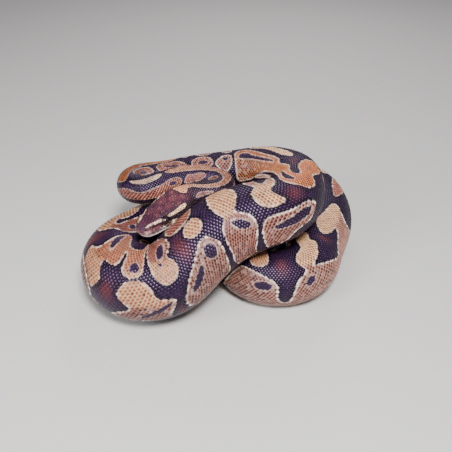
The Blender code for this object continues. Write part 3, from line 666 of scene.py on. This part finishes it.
def regular_marks():
    """The markings of the hidden lengths, each a little different from the last."""
    chance = np.random.default_rng(7)
    corners = 10
    for kind, first, last, spacing, turn, long, wide, eyed in ROWS_OF_MARKS:
        for s in np.arange(first, last, spacing):
            s = s + chance.uniform(-0.2, 0.2)
            reach = 1 + chance.uniform(-0.15, 0.15, corners)
            turns = np.linspace(0, CIRCLE, corners, endpoint=False)
            outline = np.stack([s + long * reach * np.cos(turns), turn + wide * reach * np.sin(turns)], 1)
            eyes = ()
            if eyed:
                middle = turn - np.sign(turn) * wide * 0.3
                eyes = ((s + chance.uniform(-0.2, 0.2), middle, long * 0.4, wide * 0.22, 0),)
            yield kind, outline, eyes


MIRRORED = [(kind, np.array(outline) * (1, -1), eyes) for kind, outline, eyes in HEAD_MARKS]
ALL_MARKS = [(kind, cut_corners(cut_corners(np.array(outline, float), 0.25), 0.25), eyes)
             for kind, outline, eyes in (*MARKS, *regular_marks(), *HEAD_MARKS, *MIRRORED)]


def mix(a, b, share):
    a = np.asarray(a)
    return a + (np.asarray(b) - a) * share[..., None]


def step(value, low, high):
    t = np.clip((value - low) / (high - low), 0, 1)
    return t * t * (3 - 2 * t)


def ground_tones(s, degrees, rim, chance, small):
    """The dark ground between the markings, with its reddish hazes; its scales' paler bluish-purple middles
    are painted sheen, and where the body is thin they vary more from scale to scale as painted glints.
    """
    # Paler bluish scale middles: painted sheen; on thin lengths some are brighter as painted glints.
    core = np.array(SHEENED_BLACK_CORE) * (1 + small * (1.3 * chance - 0.8))[:, None]
    colour = mix(core, BLACK_EDGE, rim ** (0.8 - 0.3 * small))
    colour = mix(colour, BLACK_EDGE, 0.5 * chance * (1 - small))
    for at, angle, long, wide in HAZES:
        near = bell((s - at) / long, 1.1) * bell((degrees - angle) / wide, 1.1)
        colour = mix(colour, RED_HAZE, near * (1 - 0.6 * rim))
    return mix(colour, NAPE, 0.8 * step(-s, -5, -1))


def crown_tones(u, x, rim, chance):
    """The purple-brown crown, with reddish blotches and flecks."""
    crown = np.array(CROWN) * (0.7 + 0.6 * chance)[:, None]
    for at, off, size in CROWN_BLOTCHES:
        near = bell(np.hypot(u - at, x - off) / size, 1)
        crown = mix(crown, CROWN_RED, near * (0.25 + 0.60 * chance))
    crown = mix(crown, CROWN_FLECK, 0.5 * (chance * 5.7 % 1 > 0.82) * (1 - rim))
    return crown * (1 - 0.5 * rim ** 2)[:, None]


def snout_tones(colour, u, x, z):
    """The snout's dark tip, its brown patch, and the nostrils."""
    tip = step(-u, -0.62, -0.30) * step(z, -0.22, -0.08) * step(-np.abs(x), -0.55, -0.40)
    colour = mix(colour, SNOUT_TIP, 0.75 * tip)
    brown = bell(np.hypot(u - 1.0, (z + 0.10) * 1.3), 0.33) + bell(np.hypot(u - 0.62, z + 0.16), 0.14)
    colour = mix(colour, SNOUT_BROWN, np.clip(brown, 0, 1) * 0.9)
    return mix(colour, BLACK_EDGE, 0.8 * bell(nostril(u, x, z), 0.10))


def head_tones(s, turn, rim, chance, ground):
    """The head's ground colours, from purple-brown crown to pale lips and chin."""
    on = np.flatnonzero(s < 1.4)
    if not len(on):
        return ground
    u, x, z = head_place(s[on], turn[on])
    side, rim, chance, over_mouth = np.abs(x), rim[on], chance[on], z - mouth_height(u)
    colour = crown_tones(u, x, rim, chance)
    colour = mix(colour, mix(*SNOUT_GREY, rim ** 2), step(-u, -0.85, -0.3) * 0.85)
    colour = mix(colour, mix(*SNOUT_PINK, rim ** 2), step(-u, -1.7, -1.0) * step(-z, -0.20, -0.06))
    # The pale upper lip, then towards the snout a stroke along the mouth, and bars between the heat pits.
    white = np.array(LIP_WHITE) * (0.85 + 0.15 * chance)[:, None]
    upper_lip = step(over_mouth, -0.02, 0.03) * step(-z, -0.06, 0.02) * step(-u, -3.4, -3.0)
    colour = mix(colour, white, upper_lip * step(u, 1.2, 1.6))
    colour = mix(colour, white, bell(over_mouth - 0.05, 0.065) * step(-u, -1.6, -1.2))
    colour = mix(colour, white, 0.5 * upper_lip * bell(np.sin(u * 12), 0.5) * step(-u, -1.5, -1.2))
    colour = snout_tones(colour, u, x, z)
    colour = mix(colour, MOUTH, 0.85 * bell(over_mouth, 0.030) * (u < 3.5))
    colour = mix(colour, white, step(-over_mouth, 0, 0.05))
    # The dark stripe through the eye, which widens towards the neck.
    stripe = bell(z - np.interp(u, *STRIPE_HEIGHT), np.interp(u, *STRIPE_WIDTH))
    stripe = stripe * step(u, 1.25, 1.6) * (side > 0.5)
    colour = mix(colour, BLACK_EDGE, np.clip(1.3 * stripe, 0, 1))
    ended = step(-u, -5.4, -4.1)
    nape = ended * step(-side, -1.3, -0.9)
    made = ground.copy()
    made[on] = mix(ground[on], colour, np.where(z > -0.1, nape, ended))
    return made


def lay_mark(colour, kind, outline, eyes, s, degrees, rim, chance, small):
    """Paints one marking into the colours, with its pale border, dark surround and eyes."""
    low, high = outline.min(axis=0) - MARK_MARGIN, outline.max(axis=0) + MARK_MARGIN
    on = np.flatnonzero((s > low[0]) & (s < high[0]) & (degrees > low[1]) & (degrees < high[1]))
    if not len(on):
        return
    s, degrees, rim, chance, small, ground = (k[on] for k in (s, degrees, rim, chance, small, colour))
    radius = float(LINE.radius_at(outline[:, 0].mean()))
    scale = np.array([1, math.radians(radius)])
    depth = depth_inside(np.stack([s, degrees], 1) * scale, outline * scale)
    tight = min(1.0, radius / 1.8)           # finer borders where the body is thin
    if kind == "dark":
        around = 0.3 * bell(depth + 0.04 * tight, 0.05 * tight) * (depth < 0)
        # Ground inside a marking, with the same painted sheen in its scales' middles.
        under = mix(SHEENED_BLACK_CORE, BLACK_EDGE, 0.4 + 0.6 * rim)
        colour[on] = mix(mix(ground, PALE, around), under, step(depth, -0.02 * tight, 0.02 * tight))
        return
    above, below, parting = (kind, kind, 0) if isinstance(kind, str) else kind
    lower = step(-degrees, -parting - 7, -parting + 7)
    core, edge = (mix(KINDS[above][k], KINDS[below][k], lower) for k in (0, 1))
    border = KINDS[above][2] + (KINDS[below][2] - KINDS[above][2]) * lower
    core = core * (1 - 0.7 * small)[:, None]
    own = mix(core, edge * (1 + 0.3 * small)[:, None], step(rim, 0.25, 0.90))
    own = own * (0.80 + 0.34 * chance + small * (0.5 * chance - 0.3))[:, None]
    speckled = np.where(lower > 0.5, below in SPECKLED, above in SPECKLED)
    fleck = (chance * 7.3 % 1 < np.where(speckled, 0.36, 0.10)) * (1 - rim)
    own = mix(own, core * 0.25, fleck * step(depth, 0.1, 0.4) * 0.8)
    own = mix(own, PALE, 0.10 * speckled * (chance * 3.7 % 1 > 0.75))
    for at, angle, long, wide, slant in eyes:
        off = np.hypot((s - at) / long, (degrees - angle - slant * (s - at)) / wide)
        own = mix(own, PALE, 0.25 * tight * bell(off - 1.14, 0.12))
        own = mix(own, ground + 0.004, step(-off, -1.12, -0.92))
    broken = np.clip(0.60 + 0.70 * chance, 0, 1) * bell(depth - 0.02 * tight, 0.044 * tight)
    own = mix(own, PALE, border * (0.35 + 0.65 * tight) * broken)
    dark = 0.7 * bell(depth + 0.10 * tight, 0.12 * tight) * (depth < 0)
    colour[on] = mix(mix(ground, BLACK_EDGE, dark), own, step(depth, -0.03 * tight, 0.02 * tight))


def tones(s, turn, rim, chance):
    """The colour at each place. rim runs from 0 at a scale's middle to 1 at its edge; chance is the
    scale's own number from 0 to 1."""
    shape = s.shape
    s, turn, rim, chance = (np.broadcast_to(k, shape).ravel() for k in (s, turn, rim, chance))
    turn = (turn + math.pi) % CIRCLE - math.pi
    degrees = np.degrees(turn)
    small = step(-LINE.radius_at(s), -2.0, -1.1)     # 1 where the finer scales need a stronger pattern
    colour = ground_tones(s, degrees, rim, chance, small)
    colour = head_tones(s, turn, rim, chance, colour)
    for kind, outline, eyes in ALL_MARKS:
        lay_mark(colour, kind, outline, eyes, s, degrees, rim, chance, small)
    u, x, z = head_place(s, turn)
    socket = np.hypot(u - EYE_FROM_SNOUT - 0.03, z - EYE_HEIGHT + 0.03)
    colour = mix(colour, BLACK_EDGE, 0.9 * step(-socket, -0.43, -0.33) * (np.abs(x) > 0.5) * (s < 0))
    # The cream belly, with dark specks here and there.
    from_back = np.abs((degrees - np.degrees(roll_at(s)) + 180) % 360 - 180)
    flank = step(from_back, BELLY_EDGE - 16, BELLY_EDGE - 2) * (s > 0.4)
    speck = (np.sin(s * 5.1) * np.sin(s * 1.7 + 1) > 0.55) * step(-from_back, -164, -150)
    cream = np.array(CREAM) * (0.85 + 0.2 * chance)[:, None]
    colour = mix(colour, mix(cream, SHEENED_BLACK_CORE, speck * 0.8), flank)
    return np.clip(colour, 0, 1).reshape(*shape, 3)


# ---- meshes ----
def skin_place(s, turn, home=None):
    """A place on the unwrap: the head has a patch of its own, and the body lies in four strips.
    home is the s whose patch is used, so that no face is torn between two."""
    s, share, home = np.broadcast_arrays(s, np.asarray(turn) / CIRCLE, s if home is None else home)
    head = np.stack([0.02 + (s + HEAD_LENGTH) / (HEAD_LENGTH + HEAD_SEAM) * 0.6, 0.67 + share * 0.31], -1)
    strip = np.clip(((home - HEAD_SEAM) / STRIP).astype(int), 0, 3)
    along = (s - HEAD_SEAM - strip * STRIP) / STRIP
    body = np.stack([0.02 + along * 0.95, 0.012 + (strip + share * 0.95) * 0.16], -1)
    return np.where((home < HEAD_SEAM)[..., None], head, body)


def mesh_piece(name, points, faces, colours, places, matter):
    """A piece of the model from triangles: colours by point, places on the unwrap by corner."""
    mesh = bpy.data.meshes.new(name)
    mesh.vertices.add(len(points))
    mesh.vertices.foreach_set("co", (points * UNIT).astype(np.float32).ravel())
    mesh.loops.add(faces.size)
    mesh.polygons.add(len(faces))
    mesh.polygons.foreach_set("loop_start", np.arange(0, faces.size, 3, dtype=np.int32))
    mesh.loops.foreach_set("vertex_index", faces.astype(np.int32).ravel())
    mesh.update(calc_edges=True)
    mesh.shade_smooth()
    shades = mesh.color_attributes.new("tone", "FLOAT_COLOR", "POINT")
    opaque = np.concatenate([colours, np.ones((len(points), 1))], 1)
    shades.data.foreach_set("color", opaque.astype(np.float32).ravel())
    layer = mesh.uv_layers.new(name="OFBake")
    layer.data.foreach_set("uv", places.astype(np.float32).ravel())
    mesh.materials.append(matter)
    item = bpy.data.objects.new(name, mesh)
    bpy.context.scene.collection.objects.link(item)
    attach(item, "root")
    return item


def quads_round(rows, columns):
    """Corners of the quads between rows of points that go all the way round."""
    corner = np.arange(rows * columns).reshape(rows, columns)
    near, far = corner[:-1], corner[1:]
    return np.stack([near, np.roll(near, -1, 1), np.roll(far, -1, 1), far], -1).reshape(-1, 4)


# The triangles between two rings, as the corners' ring and column: with as many points, and with half.
EQUAL_RINGS = ((0, 0), (0, 1), (1, 1), (0, 0), (1, 1), (1, 0))
HALVED_RINGS = ((0, 0), (0, 1), (1, 0), (0, 1), (1, 1), (1, 0), (0, 1), (0, 2), (1, 1))


def build_skin(surface, matter):
    """One closed skin: fine round the head, and every second column behind it."""
    rings = [surface.points[i, ::1 if i < HEAD_ROWS else 2] for i in range(len(surface.s))]
    sizes = [len(points) for points in rings]
    starts = np.cumsum([0] + sizes)
    faces, places = [], []
    for i, (near, far) in enumerate(zip(sizes, sizes[1:])):
        which, column = np.array(HALVED_RINGS if near > far else EQUAL_RINGS).T
        column = column + np.arange(far)[:, None] * np.where(which == 0, near // far, 1)
        size = np.where(which, far, near)
        faces.append(starts[i + which] + column % size)
        places.append(skin_place(surface.s[i + which], CIRCLE * column / size, surface.s[i]))
    for i, hub, order in ((0, starts[-1], (1, 0)), (len(rings) - 1, starts[-1] + 1, (0, 1))):
        k = np.arange(sizes[i])
        ends = starts[i] + np.stack([k, (k + 1) % sizes[i]], 1)[:, order]
        faces.append(np.column_stack([ends, np.full(sizes[i], hub)]))
        places.append(np.repeat(skin_place(surface.s[i], CIRCLE * k / sizes[i]), 3, axis=0))
    s = np.repeat(surface.s, sizes)
    turn = np.concatenate([np.arange(size) * CIRCLE / size for size in sizes])
    colours = tones(s, turn, np.full(len(s), 0.9), np.full(len(s), 0.3))
    colours = colours * (1 - 0.4 * np.clip((s + 0.2) / 0.8, 0, 1))[:, None]
    skin = mesh_piece("skin", np.concatenate([*rings, [surface.tip, surface.points[-1].mean(axis=0)]]),
                      np.concatenate([k.reshape(-1, 3) for k in faces]),
                      np.concatenate([colours, colours[:1], colours[-1:]]),
                      np.concatenate([k.reshape(-1, 2) for k in places]), matter)
    flesh = [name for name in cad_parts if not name.startswith("eye")]
    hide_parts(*flesh)


# ---- scales ----
def button_faces(sides):
    """Triangles of a closed button: a hub, three rings below it and a hub at the bottom."""
    top, rim, base = (1 + k * sides for k in range(3))
    faces = []
    for k in range(sides):
        nxt = (k + 1) % sides
        faces.append((0, top + k, top + nxt))
        for a, b in ((top, rim), (rim, base)):
            faces += [(a + k, b + k, b + nxt), (a + k, b + nxt, a + nxt)]
        faces.append((base + k, base + sides, base + nxt))
    return np.array(faces)


def scale_template():
    """One scale in its own plane: along the body, across it, rise and rim."""
    turn = np.arange(SCALE_SIDES) * CIRCLE / SCALE_SIDES
    outline = [bent(way, 2 / SCALE_SQUARENESS) for way in (np.cos(turn), np.sin(turn))]
    rows = [[(0.0, 0, 1.0, 0)]]
    for share, height, rim in ((0.62, 0.72, 0.45), (1.0, 0.0, 1.0), (0.93, -1.6, 1.0)):
        along, across = (way * share for way in outline)
        rows.append(np.stack([along, across, np.full(SCALE_SIDES, height), np.full(SCALE_SIDES, rim)], 1))
    rows.append([(0.0, 0, -1.8, 1.0)])
    return np.concatenate(rows)


def rows_across(s):
    """How many scales lie side by side across the back and sides."""
    count = np.full(np.shape(s), ROWS_OF_SCALES)
    for until, fewer in reversed(NECK_ROWS):
        count = np.where(s < until, fewer, count)
    return count


def transverse_rows():
    """Where each row of scales round the body lies, closer where the body is thin."""
    at = [FIRST_ROW]
    while at[-1] < LINE.end - 0.15:
        radius, bend = (float(np.interp(at[-1], LINE.s, k)) for k in (LINE.radius, LINE.bend))
        longer = (ROWS_OF_SCALES / float(rows_across(at[-1]))) ** 0.5
        at.append(at[-1] + SCALE_PITCH * longer * radius ** 0.47 / (1 + BEND_SPARE * radius * bend))
    return np.array(at)


def lay_copies(name, surface, s, turn, rise, seen, rim, luck, template, triangles, root, matter):
    """Many copies of a template laid on the body as one piece, each on a patch of its own of the unwrap."""
    points = surface.at(s, turn, rise)
    points[..., 2] = np.maximum(points[..., 2], FLOOR_GAP)
    colours = tones(*seen, np.broadcast_to(rim, s.shape), luck[:, None])
    faces = (np.arange(len(s))[:, None, None] * len(template) + triangles).reshape(-1, 3)
    places = np.clip(root[:, None] + template[None, :, :2] * PATCH, 0, 1).reshape(-1, 2)
    mesh_piece(name, points.reshape(-1, 3), faces, colours.reshape(-1, 3), places[faces.ravel()], matter)


def body_scales(surface, matter):
    """Overlapping scales in staggered rows over the back and sides, in pieces of whole rows."""
    rows = transverse_rows()
    pitch = np.gradient(rows)
    count = rows_across(rows)
    chance = np.random.default_rng(11)
    template, triangles = scale_template(), button_faces(SCALE_SIDES)[:, ::-1]
    a, b, h, rim = template.T
    thin = rows > TAIL_TIP
    for number, part in enumerate(np.array_split(np.arange(len(rows)), SCALE_PIECES)):
        i, j = (k.ravel() for k in np.meshgrid(part, np.arange(ROWS_OF_SCALES), indexing="ij"))
        keep = (j < count[i]) & ~(thin[i] & (j % 2 == 1))
        i, j = i[keep], j[keep]
        step_turn = 2 * math.radians(BELLY_EDGE) / count[i]
        odd = np.where(thin[i], (j // 2) % 2, j % 2)
        root_s = rows[i] + odd * pitch[i] / 2 + chance.normal(0, 0.02, len(i)) * pitch[i]
        root_turn = (j - (count[i] - 1) / 2) * step_turn + roll_at(root_s)
        half_long = pitch[i] * SCALE_REACH
        half_wide = step_turn * SCALE_HALF_WIDTH * np.where(thin[i], 2.0, 1.0)
        thick = LINE.radius_at(root_s)
        lift = (LIFT_BY_RADIUS * thick + SCALE_LIFT) * (ROWS_OF_SCALES / count[i]) ** 0.5
        luck = chance.random(len(i))
        tilt = 1 + chance.normal(0, 0.10, len(i))
        s = root_s[:, None] + half_long[:, None] * (a + 0.16 * (a > 0) * a)
        s = np.clip(s, -4.5, LINE.end - 0.1)
        turn = root_turn[:, None] + half_wide[:, None] * b
        rise = lift[:, None] * ((0.9 * a + 0.5) * (h > -1) * tilt[:, None] + 1.1 * h)
        # A scale shows the colours near its own root, so that it stays nearly one colour.
        near = np.interp(thick, (1.2, 2.2), (0.95, 0.5))[:, None]
        seen = [root[:, None] + (k - root[:, None]) * near for root, k in ((root_s, s), (root_turn, turn))]
        lay_copies("scales_%d" % number, surface, s, turn, rise, seen, rim, luck, template, triangles,
                   skin_place(root_s, root_turn % CIRCLE), matter)


def belly_scutes(surface, matter):
    """One wide plate across the belly for every row of scales."""
    rows = transverse_rows()
    width = np.linspace(-1, 1, SCUTE_COLUMNS)
    template = np.concatenate([
        np.stack([a - 0.12 * width ** 2 * (a > 0), width, np.full(SCUTE_COLUMNS, h)], 1)
        for a, h in SCUTE_PROFILE])
    corner = np.arange(len(template)).reshape(-1, SCUTE_COLUMNS)
    following = np.roll(corner, -1, 0)
    p, q, p_next, q_next = corner[:, :-1], following[:, :-1], corner[:, 1:], following[:, 1:]
    sides = np.stack([p, q, q_next, p, q_next, p_next], -1).reshape(-1, 3)
    ends = [(cap[0], *cap[k:k + 2][::way]) for cap, way in ((corner[:, 0], 1), (corner[:, -1], -1))
            for k in (1, 2, 3)]
    a, b, h = template.T
    s = np.clip(rows[:, None] + np.gradient(rows)[:, None] * a, 0.2, LINE.end - 0.12)
    middle = math.pi + roll_at(rows)
    turn = middle[:, None] + (math.pi - math.radians(BELLY_EDGE) + 0.02) * b
    luck = np.random.default_rng(5).random(len(rows))
    rim = np.clip(np.abs(a) * 1.3, 0, 1)
    lay_copies("scutes", surface, s, turn, SCUTE_LIFT * h[None], (s, turn), rim, luck, template,
               np.concatenate([sides, ends]), skin_place(rows, middle % CIRCLE), matter)


# ---- the head's plates ----
def plate_spacing(u, z):
    """Distance between the middles of neighbouring plates."""
    over_mouth = z - mouth_height(u)
    wide = np.interp(u, (0, 0.8, 1.5, 2.2, 5.2), (0.25, 0.24, 0.17, 0.13, 0.125))
    wide = np.where(np.abs(over_mouth) < 0.3, np.minimum(wide, 0.17), wide)
    return np.where(over_mouth < -0.3, 0.19, wide)


def lip_shields():
    """Places and spacing of the shields in two lines along each side of the mouth."""
    for side in (1, -1):
        for rise in (0.15, -0.13):
            for u in np.arange(0.16, 3.4, LIP_SHIELD):
                z = mouth_height(u) + rise
                _, above, below, square = (float(k) for k in head_outline(u - HEAD_LENGTH))
                share = min(abs(z) / (above if z > 0 else below), 0.999) ** (square / 2)
                yield u - HEAD_LENGTH, side * math.acos(share if z > 0 else -share), LIP_SHIELD


def plate_seeds(surface):
    """Middles of the head's plates: the lip shields, then the rest scattered evenly."""
    chance = np.random.default_rng(3)
    shields = np.array(list(lip_shields()))
    s = -HEAD_LENGTH + 5.3 * chance.random(PLATE_TRIES) ** 1.15
    turn = chance.uniform(-math.pi, math.pi, PLATE_TRIES)
    u, _, z = head_place(s, turn)
    scattered = np.stack([s, turn, plate_spacing(u, z)], 1)
    s, turn, apart = np.concatenate([shields, scattered]).T
    places = surface.at(s, turn, np.zeros(len(s)))
    from_eye = np.min([np.linalg.norm(places - eye, axis=1) for eye in EYES.values()], axis=0)
    by_eye = from_eye < EYE_RADIUS + 0.05
    taken = np.arange(len(s)) < len(shields)
    for k in range(len(shields), len(s)):
        away = np.linalg.norm(places[taken] - places[k], axis=1)
        taken[k] = not by_eye[k] and not (away < (apart[taken] + apart[k]) * 0.46).any()
    return s[taken], turn[taken], places[taken], apart[taken]


def clipped(polygon, normal, limit):
    """The part of a polygon on the near side of a line."""
    made = []
    for a, b in zip(polygon, polygon[1:] + polygon[:1]):
        da, db = (k[0] * normal[0] + k[1] * normal[1] - limit for k in (a, b))
        if da <= 0:
            made.append(a)
        if da * db < 0:
            share = da / (da - db)
            made.append((a[0] + (b[0] - a[0]) * share, a[1] + (b[1] - a[1]) * share))
    return made


def plate_outline(offset, own, others, first, second):
    """The corners that are nearer to a seed than to its neighbours, less half of the groove."""
    cell = [(own * 0.75 * math.cos(t), own * 0.75 * math.sin(t)) for t in np.arange(8) * math.pi / 4 + 0.4]
    for m in np.flatnonzero(np.linalg.norm(offset, axis=1) < own * 2.0):
        flat = np.array([offset[m] @ first, offset[m] @ second])
        size = np.linalg.norm(flat)
        if size >= 1e-6:
            cell = clipped(cell, flat / size, size * own / (own + others[m]) - HALF_GROOVE)
        if len(cell) < 3:
            return None
    return cut_corners(np.array(cell), 0.22)


def plate_tones(points, rims, lucks, s, turn, apart):
    """Colours of the plates' points, whose plates have these roots, and how far they lie behind them."""
    centre, back, up, left, _ = (k[0] for k in LINE.at(np.array([HEAD_MIDDLE])))
    away = points - (centre - back * (HEAD_LENGTH + HEAD_MIDDLE) + SHIFT)
    at = np.clip(away @ back, 0.005, None) - HEAD_LENGTH
    x, z = away @ left, away @ up
    wide, above, below, square = head_outline(at)
    across = bent(x / np.maximum(wide, 0.02), square / 2)
    height = bent(z / np.maximum(np.where(z > 0, above, below), 0.02), square / 2)
    # Away from the snout and lips a plate is nearly one colour, so markings end at its edges.
    share = np.interp(s + HEAD_LENGTH, (0.9, 1.3), (1.0, 0.45))
    share = np.where(apart == LIP_SHIELD, 1.0, share)
    off = (np.arctan2(across, height) - turn + math.pi) % CIRCLE - math.pi
    return tones(s + (at - s) * share, turn + off * share, rims, lucks), at - s


def head_plates(surface, matter):
    """A plate for each cell between the seeds, domed, with a narrow groove round it."""
    s, turn, middles, apart = plate_seeds(surface)
    rows = HEAD_ROWS + 4
    grid = surface.points[:rows].reshape(-1, 3)
    tree = BVHTree.FromPolygons([Vector(p) for p in grid], quads_round(rows, COLUMNS).tolist())
    normals = unit(surface.at(s, turn, np.ones(len(s))) - middles)
    back = LINE.at(np.array([HEAD_MIDDLE]))[1][0]
    chance = np.random.default_rng(23)
    points, faces, rims, lucks, roots = [], [], [], [], []
    for k in np.flatnonzero(s <= PLATES_TO):
        first = unit(back - normals[k] * (back @ normals[k]))
        second = np.cross(normals[k], first)
        outline = plate_outline(middles - middles[k], apart[k], apart, first, second)
        if outline is None:
            continue
        hub = outline.mean(axis=0)
        faces.append(len(points) + button_faces(len(outline)))
        luck = chance.random()
        for size, lift, rim in PLATE_PROFILE:
            for flat in hub + (outline - hub if size else np.zeros((1, 2))) * size:
                near = Vector(middles[k] + first * flat[0] + second * flat[1])
                place, facing, _, _ = tree.find_nearest(near)
                points.append(np.array(place) + np.array(facing) * lift)
                rims.append(rim)
                lucks.append(luck)
                roots.append((s[k], turn[k], apart[k]))
    points, faces, roots = np.array(points), np.concatenate(faces), np.array(roots)
    colours, behind = plate_tones(points, np.array(rims), np.array(lucks), *roots.T)
    patch = skin_place(roots[:, 0], roots[:, 1] % CIRCLE)
    patch[:, 0] += np.clip(behind * 0.01, -PATCH, PATCH)
    mesh_piece("head_plates", points, faces, colours, np.clip(patch, 0, 1)[faces.ravel()], matter)


# ---- eyes ----
def build_eye(name, side, matter):
    """A smooth eyeball with a dark brown iris and an upright pupil."""
    _, along, up, left, _ = (k[0] for k in LINE.at(np.array([EYE_FROM_SNOUT - HEAD_LENGTH])))
    outward = unit(left * side * 0.93 - along * 0.26 + up * 0.22)
    upward = unit(up - outward * (up @ outward))
    forward = np.cross(upward, outward)
    rings, sides = 35, 48
    tilt, around = np.meshgrid(np.linspace(0, math.pi, rings + 2)[1:-1],
                               np.arange(sides) * CIRCLE / sides, indexing="ij")
    local = np.stack([np.sin(tilt) * np.cos(around), np.sin(tilt) * np.sin(around), np.cos(tilt)], -1)
    local = np.concatenate([local.reshape(-1, 3), [[0, 0, 1], [0, 0, -1]]])
    x, y, z = local.T
    points = EYES[name] + local @ np.stack([forward, upward, outward]) * EYE_RADIUS
    a, b, c, d = quads_round(rings, sides).T
    k = np.arange(sides)
    nxt, last = (k + 1) % sides, (rings - 1) * sides
    front, rear = (np.full(sides, len(local) - m) for m in (2, 1))
    faces = np.concatenate([np.stack([a, d, c, a, c, b], -1).reshape(-1, 3),
                            np.stack([front, k, nxt, rear, last + nxt, last + k], -1).reshape(-1, 3)])
    iris = step(z, 0.2, 0.3) * step(-np.hypot(x, y), -0.86, -0.76)
    colour = mix(EYE_DARK, mix(*IRIS, step(y, 0.15, 0.8)), iris)
    colour = mix(colour, PUPIL, ((x / 0.15) ** 2 + (y / 0.62) ** 2 < 1) & (z > 0))
    places = 0.5 + local[:, :2] * 0.22       # the front on the map's left half, the back on its right
    places[:, 0] = places[:, 0] * 0.5 + np.where(z < 0, 0.5, 0)
    places = places[faces.ravel()]
    item = mesh_piece(name.replace("eye", "eyeball"), points, faces, colour, places, matter)
    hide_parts(name)


# ---- materials ----
def dial(node, **values):
    """Sets a node's inputs, with _ for the spaces in their names."""
    for name, value in values.items():
        node.inputs[name.replace("_", " ")].default_value = value


def toned_material(name):
    """A material, its nodes and links, its shader, and a node that gives the tone attribute."""
    made = bpy.data.materials.new(name)
    made.use_nodes = True
    nodes = made.node_tree.nodes
    tone = nodes.new("ShaderNodeAttribute")
    tone.attribute_name = "tone"
    return made, nodes, made.node_tree.links, nodes["Principled BSDF"], tone


def skin_material(name, rough, fine, tint):
    """Colour from the tone attribute, broken up by fine noise, with a fine-grained relief."""
    made, nodes, links, shader, tone = toned_material(name)
    place = nodes.new("ShaderNodeTexCoord")
    grain, mottle = nodes.new("ShaderNodeTexNoise"), nodes.new("ShaderNodeTexNoise")
    dial(grain, Scale=fine, Detail=5.0)
    dial(mottle, Scale=fine * 0.22, Detail=3.0)
    for node in (grain, mottle):
        links.new(place.outputs["Object"], node.inputs["Vector"])
    shade = nodes.new("ShaderNodeMapRange")
    dial(shade, To_Min=0.70, To_Max=1.30)
    links.new(mottle.outputs["Fac"], shade.inputs["Value"])
    blend = nodes.new("ShaderNodeVectorMath")
    blend.operation = "SCALE"
    links.new(tone.outputs["Color"], blend.inputs[0])
    links.new(shade.outputs["Result"], blend.inputs["Scale"])
    links.new(blend.outputs["Vector"], shader.inputs["Base Color"])
    gloss = nodes.new("ShaderNodeMapRange")
    dial(gloss, To_Min=rough - 0.08, To_Max=rough + 0.12)
    links.new(grain.outputs["Fac"], gloss.inputs["Value"])
    links.new(gloss.outputs["Result"], shader.inputs["Roughness"])
    relief = nodes.new("ShaderNodeBump")
    dial(relief, Strength=0.25, Distance=0.0002)
    links.new(grain.outputs["Fac"], relief.inputs["Height"])
    links.new(relief.outputs["Normal"], shader.inputs["Normal"])
    dial(shader, Metallic=0, Specular_IOR_Level=0.36, Specular_Tint=(*tint, 1))
    return made


def eye_material():
    made, _, links, shader, tone = toned_material("eye_gloss")
    links.new(tone.outputs["Color"], shader.inputs["Base Color"])
    dial(shader, Roughness=0.05, Metallic=0, Coat_Weight=1.0, Coat_Roughness=0.02)
    return made


# ---- studio ----
def put(name, data, place, way):
    """A lamp or camera at a place, facing this way."""
    item = bpy.data.objects.new(name, data)
    item.location = place
    item.rotation_mode = "QUATERNION"
    item.rotation_quaternion = way.to_track_quat("-Z", "Y")
    bpy.context.scene.collection.objects.link(item)
    return item


def pale_floor():
    plane = bpy.data.meshes.new("floor")
    size = 6.0
    plane.from_pydata([(-size, -size, 0), (size, -size, 0), (size, size, 0), (-size, size, 0)], [],
                      [(0, 1, 2, 3)])
    pale = bpy.data.materials.new("floor")
    pale.use_nodes = True
    dial(pale.node_tree.nodes["Principled BSDF"], Base_Color=(0.56, 0.545, 0.53, 1), Roughness=0.9)
    plane.materials.append(pale)
    floor = bpy.data.objects.new("floor", plane)
    bpy.context.scene.collection.objects.link(floor)


def lights():
    for name, place, power, side in (("key", (0.08, -0.46, 0.70), 12.0, 0.18),
                                     ("fill", (-0.60, -0.50, 0.52), 4.5, 0.3),
                                     ("rim", (0.10, 0.70, 0.65), 2.8, 0.35)):
        lamp = bpy.data.lights.new(name, "AREA")
        lamp.energy, lamp.size = power, side
        put(name, lamp, place, Vector((0, 0, 0.04)) - Vector(place))
    world = bpy.data.worlds.new("studio")
    world.use_nodes = True
    dial(world.node_tree.nodes["Background"], Color=(0.95, 0.92, 1.0, 1), Strength=0.22)
    bpy.context.scene.world = world


def camera(target):
    """Above the front of the model, looking down at it."""
    lens = bpy.data.cameras.new("camera")
    lens.sensor_width, lens.lens = 36.0, 36.0 * 570 / 452
    lens.clip_start, lens.clip_end = 0.01, 50
    elevation = math.radians(CAMERA_ELEVATION)
    back = Vector((0, -math.cos(elevation), math.sin(elevation)))
    bpy.context.scene.camera = put("camera", lens, target + back * CAMERA_DISTANCE * UNIT, -back)


SURFACE = Surface()
SCALY = skin_material("scales", 0.30, 900.0, (0.86, 0.68, 1.0))
build_skin(SURFACE, skin_material("skin", 0.55, 900.0, (0.86, 0.68, 1.0)))
body_scales(SURFACE, SCALY)
belly_scutes(SURFACE, SCALY)
head_plates(SURFACE, skin_material("head_scales", 0.38, 1400.0, (0.95, 0.80, 0.88)))
GLOSSY = eye_material()
build_eye("eye_left", 1, GLOSSY)
build_eye("eye_right", -1, GLOSSY)
pale_floor()
lights()
camera((Vector((0, 0, 3.0)) + Vector(SHIFT)) * UNIT)
